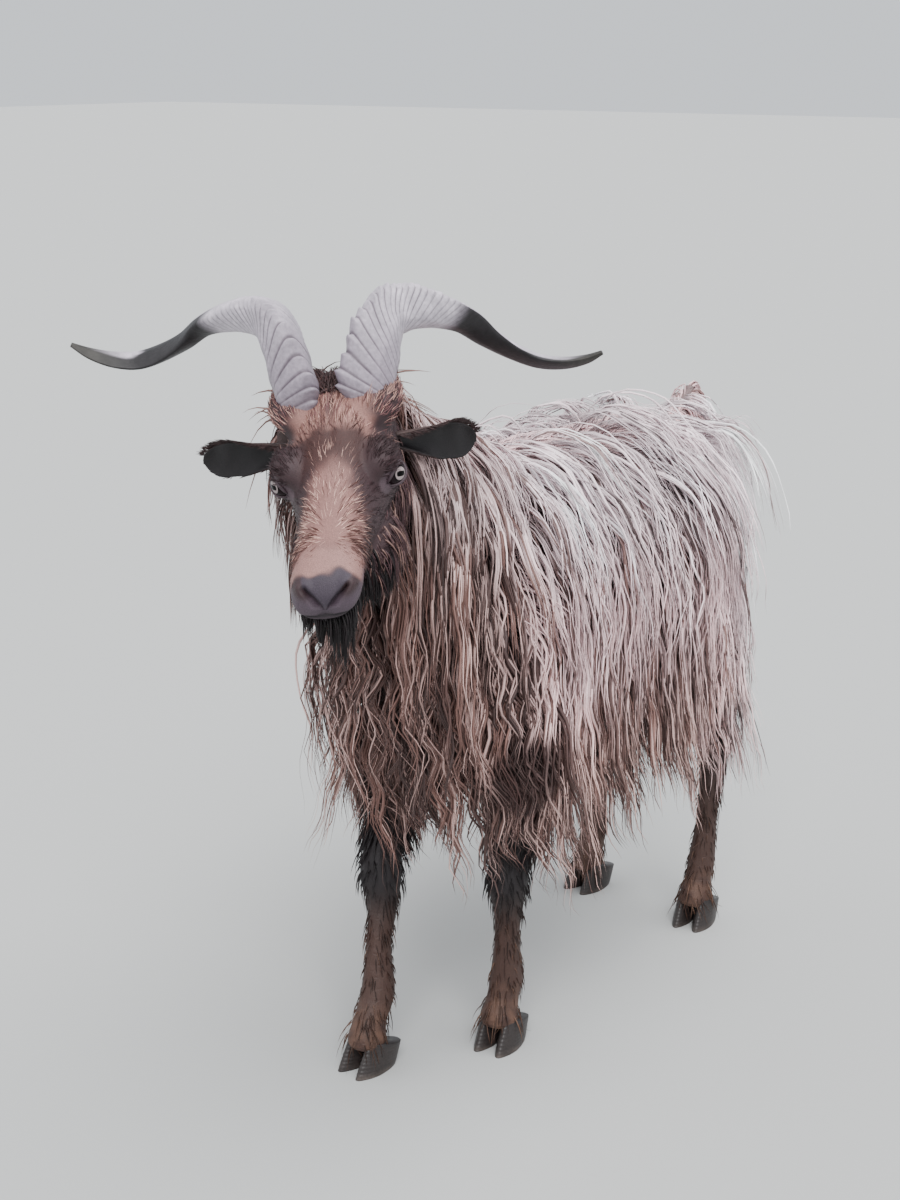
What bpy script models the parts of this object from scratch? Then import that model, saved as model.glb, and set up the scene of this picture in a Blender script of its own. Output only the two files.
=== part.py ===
"""Old Irish goat, a mature billy standing still, modelled at life size.

The goat faces -Y, its left side is +X and +Z is up.  The flesh is built from a few lofted
tubes, joined and smoothed, and parted by flat cuts into head, neck, torso and legs.  The long
coat is made of flat tapered locks that are fused to the node they grow from.
"""
import math
import random

import bmesh
import bpy
import numpy as np
from mathutils import Matrix, Vector
from mathutils.bvhtree import BVHTree

# Driving sizes, in metres.
FLEECE_CORE = 0.012           # dense underwool kept in the solids, under half the coat's depth
GAP = 0.0003                  # air between nodes that touch
LEG_CUT = 0.326               # height where a leg parts from the body
EYE_RADIUS = 0.0135
EAR_LENGTH = 0.108
ORIGIN_SHIFT = Vector((0.0204, 0.1446, 0.0))   # brings the origin under the middle

# The head looks at the onlooker: turned to the goat's left, nose down, a little rolled.
HEAD_TURN = math.radians(36)
HEAD_PITCH = math.radians(30)
HEAD_ROLL = math.radians(8.5)
FOREHEAD = Vector((0.055, -0.506, 0.851))     # midline, just in front of the horns
HEAD = (Matrix.Translation(FOREHEAD) @ Matrix.Rotation(HEAD_TURN, 4, "Z")
        @ Matrix.Rotation(HEAD_PITCH, 4, "X") @ Matrix.Rotation(-HEAD_ROLL, 4, "Y"))

COLOURS = {
    "fleece": (0.50, 0.42, 0.40),
    "neck_hair": (0.40, 0.29, 0.25),
    "face": (0.25, 0.14, 0.11),
    "leg": (0.10, 0.06, 0.055),
    "horn": (0.45, 0.42, 0.43),
    "hoof": (0.05, 0.045, 0.045),
    "ear": (0.02, 0.016, 0.016),
    "eye": (0.40, 0.36, 0.26),
}

SIDES = {"left": 1.0, "right": -1.0}


def clear_scene():
    """Empties the file this script is run from."""
    for obj in list(bpy.data.objects):
        bpy.data.objects.remove(obj, do_unlink=True)


def material(slot):
    """The plain finish of one kind of surface."""
    found = bpy.data.materials.get(slot)
    if found:
        return found
    made = bpy.data.materials.new(slot)
    made.use_nodes = True
    shader = made.node_tree.nodes["Principled BSDF"]
    shader.inputs["Base Color"].default_value = (*COLOURS[slot], 1.0)
    shader.inputs["Roughness"].default_value = 0.25 if slot == "eye" else 0.75
    shader.inputs["Metallic"].default_value = 0.0
    return made


# Tools for lofted tubes


def spread(stations, count):
    """Rows of numbers eased through the stations by Catmull-Rom, evenly by chord length."""
    rows = np.array(stations, float)
    chord = np.linalg.norm(np.diff(rows[:, :3], axis=0), axis=1)
    knots = np.concatenate([[0.0], np.cumsum(chord)])
    ends = np.vstack([2 * rows[0] - rows[1], rows, 2 * rows[-1] - rows[-2]])
    out = []
    for place in np.linspace(0.0, knots[-1], count):
        k = min(int(np.searchsorted(knots, place, side="right")) - 1, len(rows) - 2)
        t = (place - knots[k]) / (knots[k + 1] - knots[k])
        p0, p1, p2, p3 = ends[k:k + 4]
        out.append(0.5 * (2 * p1 + (p2 - p0) * t + (2 * p0 - 5 * p1 + 4 * p2 - p3) * t * t
                          + (3 * p1 - p0 - 3 * p2 + p3) * t ** 3))
    return out


def power(value, exponent):
    """Signed power, which squares an ellipse off or draws it in."""
    return math.copysign(abs(value) ** exponent, value)


def ring(centre, side, up, half_side, top, bottom, square=2.0, around=16):
    """Points of a superellipse whose upper and lower halves may differ in height."""
    points = []
    for k in range(around):
        turn = 2 * math.pi * k / around
        across = half_side * power(math.cos(turn), 2 / square)
        tall = (top if math.sin(turn) > 0 else bottom) * power(math.sin(turn), 2 / square)
        points.append(centre + side * across + up * tall)
    return points


def skin_rings(rings):
    """A closed bmesh through rings of equal count, with a fan on each end."""
    bm = bmesh.new()
    rows = [[bm.verts.new(p) for p in points] for points in rings]
    count = len(rings[0])
    for low, high in zip(rows, rows[1:]):
        for k in range(count):
            bm.faces.new((low[k], low[(k + 1) % count], high[(k + 1) % count], high[k]))
    for row, flip in ((rows[0], True), (rows[-1], False)):
        middle = bm.verts.new(sum((v.co for v in row), Vector()) / count)
        for k in range(count):
            face = (row[k], row[(k + 1) % count], middle)
            bm.faces.new(face[::-1] if flip else face)
    bmesh.ops.recalc_face_normals(bm, faces=bm.faces)
    return bm


def to_object(name, bm, slot):
    """Puts a bmesh into the scene as one named object."""
    mesh = bpy.data.meshes.new(name)
    bm.to_mesh(mesh)
    bm.free()
    obj = bpy.data.objects.new(name, mesh)
    bpy.context.scene.collection.objects.link(obj)
    if mesh.materials:
        mesh.materials.clear()
    mesh.materials.append(material(slot))
    mesh.shade_smooth()
    return obj


def tube(stations, count, around=16, side=Vector((1, 0, 0)), extra=0.0):
    """A lofted limb.  A station is x, y, z, half width, half depth; side is its width's line."""
    rows = spread(stations, count)
    rings = []
    for k, row in enumerate(rows):
        before = Vector(rows[max(k - 1, 0)][:3])
        after = Vector(rows[min(k + 1, count - 1)][:3])
        along = (after - before).normalized()
        depth = along.cross(side).normalized()
        rings.append(ring(Vector(row[:3]), depth.cross(along).normalized(), depth,
                          row[3] + extra, row[4] + extra, row[4] + extra, 2.0, around))
    return skin_rings(rings)


def joined(pieces):
    """One bmesh that holds several, which still overlap."""
    whole = bmesh.new()
    for piece in pieces:
        mesh = bpy.data.meshes.new("loose")
        piece.to_mesh(mesh)
        piece.free()
        whole.from_mesh(mesh)
        bpy.data.meshes.remove(mesh)
    return whole


def melted(pieces, voxel, smoothing, triangles):
    """Overlapping lofts run together as flesh does: remeshed, smoothed and thinned out."""
    obj = to_object("melt", joined(pieces), "fleece")
    remesh = obj.modifiers.new("remesh", "REMESH")
    remesh.mode = "VOXEL"
    remesh.voxel_size = voxel
    soften = obj.modifiers.new("soften", "SMOOTH")
    soften.factor = 0.5
    soften.iterations = smoothing
    thin = obj.modifiers.new("thin", "DECIMATE")
    faces = len(obj.evaluated_get(bpy.context.evaluated_depsgraph_get()).data.polygons)
    thin.ratio = min(1.0, triangles / (2.0 * faces))
    mesh = bpy.data.meshes.new_from_object(
        obj.evaluated_get(bpy.context.evaluated_depsgraph_get()))
    bm = bmesh.new()
    bm.from_mesh(mesh)
    bpy.data.objects.remove(obj)
    bpy.data.meshes.remove(mesh)
    bmesh.ops.triangulate(bm, faces=bm.faces)
    return bm


def sliced(bm, point, normal, keep_ahead):
    """The part of a closed bmesh on one side of a plane, closed again with a flat cap."""
    piece = bm.copy()
    shift = normal * (GAP / 2 if keep_ahead else -GAP / 2)
    cut = bmesh.ops.bisect_plane(
        piece, geom=piece.verts[:] + piece.edges[:] + piece.faces[:], dist=1e-6,
        plane_co=point + shift, plane_no=normal,
        clear_inner=keep_ahead, clear_outer=not keep_ahead)
    edges = [e for e in cut["geom_cut"] if isinstance(e, bmesh.types.BMEdge)]
    filled = bmesh.ops.triangle_fill(piece, edges=edges, use_beauty=True)
    bmesh.ops.recalc_face_normals(piece, faces=piece.faces)
    return piece


# Flesh


# Torso stations: y, top, bottom, half width, from the breast to the buttock.
TORSO = (
    (-0.335, 0.600, 0.475, 0.058),
    (-0.300, 0.672, 0.420, 0.098),
    (-0.240, 0.726, 0.380, 0.118),
    (-0.170, 0.740, 0.364, 0.127),
    (-0.060, 0.730, 0.350, 0.143),
    (0.060, 0.723, 0.348, 0.152),
    (0.140, 0.722, 0.378, 0.132),
    (0.200, 0.706, 0.432, 0.102),
    (0.242, 0.678, 0.500, 0.074),
    (0.264, 0.642, 0.552, 0.042),
)
# Neck stations: x, y, z, half width, half depth, from inside the shoulders to the throat.
NECK = (
    (0.000, -0.190, 0.580, 0.085, 0.130),
    (0.000, -0.270, 0.640, 0.080, 0.118),
    (0.000, -0.350, 0.705, 0.070, 0.098),
    (0.006, -0.420, 0.762, 0.062, 0.082),
    (0.022, -0.475, 0.800, 0.056, 0.070),
)
NECK_ROOT = Vector((0.0, -0.285, 0.62))        # a point on the cut between neck and torso
NECK_LINE = Vector((0.0, -0.97, 0.24)).normalized()
HEAD_ROOT = HEAD @ Vector((0.0, 0.040, -0.070))  # a point on the cut between head and neck
HEAD_LINE = Vector((0.36, -0.93, 0.10)).normalized()

# Where each foot stands and how the joints above it lie: x, y of the hoof, knee or hock, elbow or stifle.
FORE = {
    "left": {"hoof": (0.055, -0.206), "knee": (0.067, -0.208), "elbow": (0.083, -0.190)},
    "right": {"hoof": (-0.044, -0.342), "knee": (-0.062, -0.288), "elbow": (-0.083, -0.205)},
}
HIND = {
    "left": {"hoof": (0.092, 0.222), "knee": (0.094, 0.262), "elbow": (0.098, 0.142)},
    "right": {"hoof": (-0.090, 0.232), "knee": (-0.094, 0.272), "elbow": (-0.098, 0.148)},
}
KNEE_HEIGHT, HOCK_HEIGHT = 0.222, 0.268
ELBOW_HEIGHT, STIFLE_HEIGHT = 0.405, 0.420


def torso_flesh(extra=0.0):
    """The barrel, drawn in along the back and full below."""
    rows = spread([(0.0, y, (a + b) / 2, (a - b) / 2, w) for y, a, b, w in TORSO], 22)
    rings = []
    for row in rows:
        centre = Vector(row[:3])
        points = ring(centre, Vector((1, 0, 0)), Vector((0, 0, 1)), row[4] + extra,
                      row[3] + extra, row[3] + extra, 2.15, 24)
        for p in points:
            rise = max(0.0, (p.z - centre.z) / (row[3] + extra))
            p.x *= 1.0 - 0.30 * rise ** 1.5
        rings.append(points)
    return skin_rings(rings)


def fore_stations(side):
    """The foreleg from the shoulder blade to the pastern."""
    sign, leg = SIDES[side], FORE[side]
    (hx, hy), (kx, ky), (ex, ey) = leg["hoof"], leg["knee"], leg["elbow"]
    lean_x, lean_y = kx - hx, ky - hy
    return (
        (0.050 * sign, -0.185, 0.640, 0.040, 0.060),
        (0.080 * sign, -0.225, 0.540, 0.050, 0.082),
        (ex, ey, ELBOW_HEIGHT, 0.042, 0.058),
        (ex * 0.45 + kx * 0.55, ey * 0.45 + ky * 0.55, 0.305, 0.030, 0.036),
        (kx, ky, KNEE_HEIGHT + 0.028, 0.0255, 0.0275),
        (kx, ky - 0.002, KNEE_HEIGHT, 0.0265, 0.0280),
        (kx - 0.15 * lean_x, ky - 0.10 * lean_y + 0.002, 0.188, 0.0195, 0.0215),
        (hx + 0.45 * lean_x, hy + 0.50 * lean_y + 0.006, 0.140, 0.0165, 0.0190),
        (hx + 0.10 * lean_x, hy + 0.20 * lean_y + 0.012, 0.088, 0.0215, 0.0245),
        (hx, hy + 0.005, 0.060, 0.0205, 0.0230),
        (hx, hy - 0.002, 0.036, 0.0255, 0.0270),
        (hx, hy - 0.004, 0.020, 0.0230, 0.0250),
    )


def hind_stations(side):
    """The hind leg from the hip to the pastern."""
    sign, leg = SIDES[side], HIND[side]
    (hx, hy), (kx, ky), (ex, ey) = leg["hoof"], leg["knee"], leg["elbow"]
    return (
        (0.046 * sign, 0.205, 0.650, 0.042, 0.066),
        (0.070 * sign, 0.200, 0.565, 0.054, 0.090),
        (0.084 * sign, 0.180, 0.490, 0.054, 0.090),
        (ex, ey + 0.022, STIFLE_HEIGHT, 0.045, 0.068),
        (ex * 0.5 + kx * 0.5, ey * 0.42 + ky * 0.58, 0.345, 0.0290, 0.0380),
        (kx, ky - 0.012, HOCK_HEIGHT + 0.030, 0.0205, 0.0280),
        (kx, ky - 0.002, HOCK_HEIGHT, 0.0215, 0.0270),
        (kx, ky - 0.012, 0.225, 0.0170, 0.0225),
        (kx, ky - 0.020, 0.150, 0.0155, 0.0195),
        (hx, hy + 0.014, 0.088, 0.0200, 0.0235),
        (hx, hy + 0.006, 0.060, 0.0195, 0.0225),
        (hx, hy - 0.002, 0.036, 0.0240, 0.0260),
        (hx, hy - 0.004, 0.020, 0.0220, 0.0240),
    )


def upper(stations, lowest):
    """The stations of a limb down to the first one below a height."""
    kept = [row for row in stations if row[2] > lowest]
    return kept + [stations[len(kept)]]


def body_flesh():
    """Barrel, neck and upper limbs run together, with the underwool's depth added."""
    pieces = [torso_flesh(FLEECE_CORE), tube(NECK, 12, 20, extra=FLEECE_CORE)]
    for side in SIDES:
        pieces.append(tube(upper(fore_stations(side), LEG_CUT), 10, 16, extra=0.003))
        pieces.append(tube(upper(hind_stations(side), LEG_CUT), 10, 16, extra=0.003))
    return melted(pieces, 0.011, 6, 850)


# Head


# Face stations: forward from the horns, top, bottom, half width, squareness, draw-in above and below.
FACE = (
    (-0.062, -0.034, -0.095, 0.034, 2.0, 0.05, 0.10),
    (-0.045, -0.012, -0.115, 0.048, 2.1, 0.05, 0.20),
    (-0.010, 0.000, -0.134, 0.055, 2.2, 0.08, 0.32),
    (0.030, -0.001, -0.140, 0.0575, 2.2, 0.10, 0.40),
    (0.060, -0.008, -0.137, 0.055, 2.2, 0.13, 0.42),
    (0.090, -0.015, -0.127, 0.048, 2.2, 0.17, 0.40),
    (0.118, -0.020, -0.113, 0.0415, 2.2, 0.17, 0.32),
    (0.146, -0.025, -0.100, 0.0370, 2.3, 0.14, 0.22),
    (0.172, -0.029, -0.093, 0.0355, 2.4, 0.10, 0.18),
    (0.194, -0.033, -0.089, 0.0355, 2.5, 0.06, 0.18),
    (0.209, -0.038, -0.086, 0.0325, 2.5, 0.04, 0.18),
    (0.220, -0.048, -0.081, 0.0265, 2.3, 0.02, 0.12),
    (0.224, -0.058, -0.073, 0.0150, 2.0, 0.00, 0.05),
)
EYE_FORWARD, EYE_OUT, EYE_DROP = 0.066, 0.0520, -0.0475


def in_head(left, forward, dorsal):
    """A place on the head, from its left, forward and dorsal distances."""
    return HEAD @ Vector((left, -forward, dorsal))


def bump(centre, radii, turn=Matrix.Identity(4), fine=3):
    """A ball of flesh in the head's frame, such as a brow or a cheek."""
    bm = bmesh.new()
    bmesh.ops.create_icosphere(bm, subdivisions=fine, radius=1.0)
    left, forward, dorsal = centre
    grow = Matrix.Diagonal((radii[0], radii[1], radii[2], 1.0))
    bmesh.ops.transform(bm, verts=bm.verts,
                        matrix=HEAD @ Matrix.Translation((left, -forward, dorsal)) @ turn @ grow)
    return bm


def head_flesh():
    """Skull, jaw and muzzle with brows, cheeks, lips and chin run together."""
    rows = spread([(s, 0, (a + b) / 2, (a - b) / 2, w, n, u, v) for s, a, b, w, n, u, v in FACE], 30)
    turned = HEAD.to_3x3()
    rings = []
    for s, _, middle, tall, wide, square, above, below in rows:
        points = ring(Vector((0, -s, middle)), Vector((1, 0, 0)), Vector((0, 0, 1)),
                      wide, tall, tall, square, 28)
        for p in points:
            rise = (p.z - middle) / tall
            p.x *= 1.0 - (above * rise if rise > 0 else -below * rise)
        rings.append([HEAD @ p for p in points])
    pieces = [skin_rings(rings)]
    lids = EYE_RADIUS + 0.0030
    for sign in SIDES.values():
        pieces.append(bump((0.043 * sign, EYE_FORWARD - 0.006, -0.033), (0.020, 0.024, 0.018)))
        pieces.append(bump((0.037 * sign, 0.025, -0.085), (0.020, 0.045, 0.038)))
        pieces.append(bump((0.019 * sign, 0.204, -0.050), (0.0125, 0.016, 0.0125)))
        pieces.append(bump((0.018 * sign, 0.196, -0.066), (0.0155, 0.024, 0.016)))
        pieces.append(bump((EYE_OUT * sign, EYE_FORWARD, EYE_DROP), (lids, lids, lids)))
        pieces.append(bump((0.033 * sign, -0.014, -0.020), (0.034, 0.042, 0.024)))
    pieces.append(bump((0, 0.190, -0.088), (0.019, 0.024, 0.014)))
    pieces.append(tube(NECK, 12, 20, extra=FLEECE_CORE * 0.6))
    return melted(pieces, 0.0036, 4, 1500)


# Coat locks


DOWN = Vector((0, 0, -1))
WIND = Vector((0.80, 0.60, 0.0))               # the breeze lifts the tips to the goat's left and back


def tree(obj):
    """A search tree over an object's finished mesh."""
    bm = bmesh.new()
    bm.from_mesh(obj.data)
    found = BVHTree.FromBMesh(bm)
    bm.free()
    return found


def height_over(surface, point):
    """Signed distance from a closed surface, its nearest point and its normal there."""
    near, normal, _, _ = surface.find_nearest(point)
    return (point - near).dot(normal), near, normal


LOCK_STEPS = 4                   # bends along a lock between its root and its tip
ROOT_DEPTH = 0.009               # how far a lock's root is sunk in the flesh
NODE_ROOM = 0.012                # how far a lock keeps off another node


def lock_path(surface, root, normal, flow, length, lift, droop, blow, bend, guides):
    """Points and outward normals of one lock: rooted, laid along the coat, then hanging."""
    line = (flow - normal * flow.dot(normal)).normalized()
    points, normals = [root - normal * ROOT_DEPTH - line * (0.10 * length)], [normal]
    place = root + normal * 0.004
    side = line.cross(normal)
    for k in range(LOCK_STEPS):
        share = (k + 1) / LOCK_STEPS
        points.append(place.copy())
        wave = side * (bend[0] * math.sin(bend[1] + share * 5.5))
        line = (line * (1 - droop) + DOWN * droop + WIND * (blow * share ** 2) + wave).normalized()
        place = place + line * (length / LOCK_STEPS)
        place = pushed_out(surface, place, 0.005 + lift * share ** 0.6)
        for guide in guides:
            place = pushed_out(guide, place, NODE_ROOM)
        _, _, out = height_over(surface, place)
        normals.append((normals[-1] * 0.4 + out * 0.6).normalized())
    points.append(place.copy())
    normals.append(normals[-1])
    return points, normals


def pushed_out(surface, place, room):
    """A place moved out until it is the given room above a surface that it is near."""
    high, near, out = height_over(surface, place)
    if high < room and (place - near).length < 0.10:
        return near + out * room
    return place


def lock_mesh(points, normals, width, thick, grow=0.0):
    """A flat lock of three sides: full a third of the way down, drawn to a point."""
    bm = bmesh.new()
    last = len(points) - 1
    rows = []
    for k in range(last):
        along = (points[k + 1] - points[max(k - 1, 0)]).normalized()
        out = (normals[k] - along * normals[k].dot(along)).normalized()
        side = along.cross(out)
        share = k / last
        full = min(1.0, 0.55 + 1.6 * share) * (1.0 - max(0.0, share - 0.35) ** 1.3 * 1.25)
        half, deep = width * 0.5 * full + grow, thick * (0.45 + 0.55 * full) * 0.5 + grow
        rows.append([bm.verts.new(points[k] + side * half - out * deep),
                     bm.verts.new(points[k] + out * deep * 1.3),
                     bm.verts.new(points[k] - side * half - out * deep)])
    tip = bm.verts.new(points[-1])
    bm.faces.new(rows[0])
    for low, high in zip(rows, rows[1:]):
        for k in range(3):
            bm.faces.new((low[k], low[(k + 1) % 3], high[(k + 1) % 3], high[k]))
    for k in range(3):
        bm.faces.new((rows[-1][k], rows[-1][(k + 1) % 3], tip))
    bmesh.ops.recalc_face_normals(bm, faces=bm.faces)
    bmesh.ops.triangulate(bm, faces=bm.faces)
    return bm


class Coat:
    """The locks that grow from one node, each kept clear of every other node."""

    def __init__(self, obj, flesh, seed):
        self.obj = obj
        self.surface = flesh[obj.name]
        self.guides = [surface for name, surface in flesh.items() if name != obj.name]
        self.others = [tree(o) for o in bpy.context.scene.objects if o is not obj]
        self.draw = random.Random(seed)
        self.locks = []
        self.missed = 0

    def crosses(self, bm):
        """Whether a lock, grown by the gap, touches another node or folds through itself."""
        trial = BVHTree.FromBMesh(bm)
        bm.faces.ensure_lookup_table()
        corners = [set(face.verts) for face in bm.faces]
        folded = any(corners[a].isdisjoint(corners[b]) for a, b in trial.overlap(trial))
        return folded or any(trial.overlap(other) for other in self.others)

    def grow(self, root, normal, flow, length, width, lift=0.022, droop=0.35, blow=0.0,
             thick=None, wave=0.12):
        """Sets one lock, shorter where it would reach another node."""
        draw = self.draw
        length *= draw.uniform(0.88, 1.12)
        width *= draw.uniform(0.85, 1.15)
        thick = thick or width * 0.20
        lift *= draw.uniform(0.75, 1.25)
        bend = (wave * draw.uniform(0.5, 1.2), draw.uniform(0, 6.28))
        for share in (1.0, 0.85, 0.7, 0.55, 0.4):
            points, normals = lock_path(self.surface, root, normal, flow, length * share, lift,
                                        droop, blow, bend, self.guides)
            wide = width * share
            trial = lock_mesh(points, normals, wide, thick, GAP * 2)
            hit = self.crosses(trial)
            trial.free()
            if not hit:
                name = f"{self.obj.name}_lock_{len(self.locks)}"
                slot = self.obj.data.materials[0].name
                self.locks.append(to_object(name, lock_mesh(points, normals, wide, thick), slot))
                return
        self.missed += 1

    def cast(self, target, direction, flow, length, width, **kinds):
        """Roots a lock where a line from far out in one direction meets the surface."""
        away = direction.normalized()
        place, normal, _, _ = self.surface.ray_cast(target + away * 0.6, -away)
        if place is not None:
            self.grow(place, normal, flow, length, width, **kinds)

    def fuse(self):
        """Joins the locks to their node as one closed body."""
        group = bpy.data.collections.new(f"{self.obj.name}_coat")
        for lock in self.locks:
            bpy.context.scene.collection.objects.unlink(lock)
            group.objects.link(lock)
        union = self.obj.modifiers.new("coat", "BOOLEAN")
        union.operation = "UNION"
        union.operand_type = "COLLECTION"
        union.collection = group
        union.solver = "MANIFOLD"
        settle(self.obj)
        for lock in self.locks:
            bpy.data.objects.remove(lock)
        bpy.data.collections.remove(group)
        print(self.obj.name, len(self.locks), "locks,", self.missed, "left out,",
              len(self.obj.data.polygons), "triangles")


def settle(obj):
    """Applies an object's modifiers and keeps its largest closed surface, in triangles."""
    graph = bpy.context.evaluated_depsgraph_get()
    mesh = bpy.data.meshes.new_from_object(obj.evaluated_get(graph))
    obj.modifiers.clear()
    bm = bmesh.new()
    bm.from_mesh(mesh)
    bmesh.ops.remove_doubles(bm, verts=bm.verts, dist=1e-7)
    bmesh.ops.triangulate(bm, faces=bm.faces)
    seen, islands = set(), []
    for start in bm.faces:
        if start in seen:
            continue
        island, heap = [], [start]
        seen.add(start)
        while heap:
            face = heap.pop()
            island.append(face)
            for edge in face.edges:
                if len(edge.link_faces) != 2:
                    continue
                for near in edge.link_faces:
                    if near not in seen:
                        seen.add(near)
                        heap.append(near)
        islands.append(island)
    islands.sort(key=lambda faces: sum(f.calc_area() for f in faces))
    for island in islands[:-1]:
        bmesh.ops.delete(bm, geom=island, context="FACES")
    bmesh.ops.delete(bm, geom=[v for v in bm.verts if not v.link_faces], context="VERTS")
    bm.to_mesh(obj.data)
    bm.free()
    bpy.data.meshes.remove(mesh)
    obj.data.shade_smooth()


def cutter(name, bm):
    """A helper solid that only cuts."""
    obj = to_object(name, bm, "face")
    obj.hide_render = True
    obj.display_type = "WIRE"
    return obj


def carve(obj, tools):
    """Takes helper solids out of an object and removes them."""
    for tool in tools:
        cut = obj.modifiers.new(tool.name, "BOOLEAN")
        cut.operation = "DIFFERENCE"
        cut.object = tool
        cut.solver = "EXACT"
    settle(obj)
    for tool in tools:
        bpy.data.objects.remove(tool)


def part_from(obj, *carriers):
    """Cuts an object back to the gap outside what it grows from."""
    grown = []
    for carrier in carriers:
        bm = bmesh.new()
        bm.from_mesh(carrier.data)
        bm.normal_update()
        for vertex, normal in [(v, v.normal.copy()) for v in bm.verts]:
            vertex.co += normal * (GAP * 1.6)
        grown.append(cutter("carrier", bm))
    carve(obj, grown)


# Nodes


def build_trunk():
    """Barrel and neck in one, cut flat above the legs and behind the head."""
    whole = body_flesh()
    clear = sliced(whole, Vector((0, 0, LEG_CUT)), Vector((0, 0, 1)), True)
    trunk = sliced(clear, HEAD_ROOT, HEAD_LINE, False)
    whole.free()
    clear.free()
    return to_object("torso", trunk, "fleece")


def half_space(point, normal):
    """A block that fills one side of a plane and reaches half the gap over it."""
    bm = bmesh.new()
    bmesh.ops.create_cube(bm, size=4.0)
    turn = Vector((0, 0, 1)).rotation_difference(normal).to_matrix().to_4x4()
    place = Matrix.Translation(point + normal * (2.0 - GAP / 2))
    bmesh.ops.transform(bm, verts=bm.verts, matrix=place @ turn)
    return cutter("half_space", bm)


def part_neck(torso):
    """Parts the neck from the torso by one flat cut through flesh and coat."""
    whole = bmesh.new()
    whole.from_mesh(torso.data)
    neck = to_object("neck", whole, "neck_hair")
    carve(torso, [half_space(NECK_ROOT, NECK_LINE)])
    carve(neck, [half_space(NECK_ROOT, -NECK_LINE)])


def mouth_groove():
    """A thin bent plate that cuts the line between the lips, deepest at the front."""
    bm = bmesh.new()
    rows = []
    for k in range(15):
        turn = math.radians(-90 + 180 * k / 14)
        out, ahead = math.sin(turn), math.cos(turn)
        drop = -0.0735 - 0.006 * (1 - ahead)
        outer = (0.050 * out, 0.149 + 0.095 * ahead, drop)
        inner = (0.030 * out, 0.149 + 0.068 * ahead, drop)
        rows.append([bm.verts.new(in_head(x, s, z + h))
                     for (x, s, z), h in ((outer, 0.0012), (inner, 0.0003),
                                          (inner, -0.0003), (outer, -0.0012))])
    bm.faces.new(rows[0])
    bm.faces.new(rows[-1][::-1])
    for low, high in zip(rows, rows[1:]):
        for k in range(4):
            bm.faces.new((low[k], low[(k + 1) % 4], high[(k + 1) % 4], high[k]))
    bmesh.ops.recalc_face_normals(bm, faces=bm.faces)
    return bm


def build_head():
    """The head ahead of its cut, with eye sockets, lids, nostrils and the line of the mouth."""
    whole = head_flesh()
    cut = sliced(whole, HEAD_ROOT, HEAD_LINE, True)
    whole.free()
    head = to_object("head", cut, "face")
    tools = [cutter("mouth", mouth_groove())]
    for name, sign in SIDES.items():
        eye = (EYE_OUT * sign, EYE_FORWARD, EYE_DROP)
        socket = EYE_RADIUS + GAP
        tools.append(cutter(f"socket_{name}", bump(eye, (socket,) * 3, fine=2)))
        slit = ((EYE_OUT + 0.012) * sign, EYE_FORWARD + 0.001, EYE_DROP + 0.0005)
        tools.append(cutter(f"lids_{name}", bump(slit, (0.020, 0.0118, 0.0076), fine=2)))
        tilt = Matrix.Rotation(math.radians(-48) * sign, 4, "Y")
        tools.append(cutter(f"nostril_{name}", bump((0.0125 * sign, 0.220, -0.051),
                                                    (0.0120, 0.012, 0.0028), tilt, 2)))
    carve(head, tools)
    for name, sign in SIDES.items():
        ball = bump((EYE_OUT * sign, EYE_FORWARD, EYE_DROP), (EYE_RADIUS,) * 3, fine=2)
        to_object(f"eye_{name}", ball, "eye")
    return head


# The horns sit level on the head: left, back and up from the forehead.
HORN_FRAME = (Matrix.Translation(FOREHEAD) @ Matrix.Rotation(HEAD_TURN, 4, "Z")
              @ Matrix.Rotation(math.radians(-4), 4, "Y"))
# Horn stations: left, back, up, half depth from keel to rear edge, half thickness, keel's turn
# about the horn (0 faces forward and inward, rising over the top to the rear and below).
HORN = (
    (0.027, 0.012, -0.030, 0.0120, 0.0100, 0),
    (0.031, 0.012, -0.006, 0.0290, 0.0205, 4),
    (0.038, 0.020, 0.025, 0.0315, 0.0215, 12),
    (0.046, 0.035, 0.050, 0.0310, 0.0210, 30),
    (0.057, 0.055, 0.067, 0.0290, 0.0205, 60),
    (0.079, 0.080, 0.070, 0.0255, 0.0190, 95),
    (0.105, 0.105, 0.064, 0.0215, 0.0155, 125),
    (0.133, 0.125, 0.052, 0.0200, 0.0115, 150),
    (0.156, 0.135, 0.034, 0.0205, 0.0095, 175),
    (0.182, 0.140, 0.019, 0.0205, 0.0085, 192),
    (0.207, 0.140, 0.010, 0.0190, 0.0075, 200),
    (0.232, 0.135, 0.010, 0.0155, 0.0065, 205),
    (0.255, 0.130, 0.016, 0.0100, 0.0050, 208),
    (0.272, 0.125, 0.025, 0.0030, 0.0025, 210),
)
HORN_TWIST = 0.62                # share of the keel's turn that is the horn's own twist
HORN_RINGS, HORN_AROUND = 34, 9
HORN_ANNULI = 12                 # growth rings from the base to past the bend
# The two horns aren't alike: how far the tip is lifted, and where the keel faces at the base.
HORN_SET = {"left": (-0.023, 62), "right": (0.023, 36)}


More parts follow.
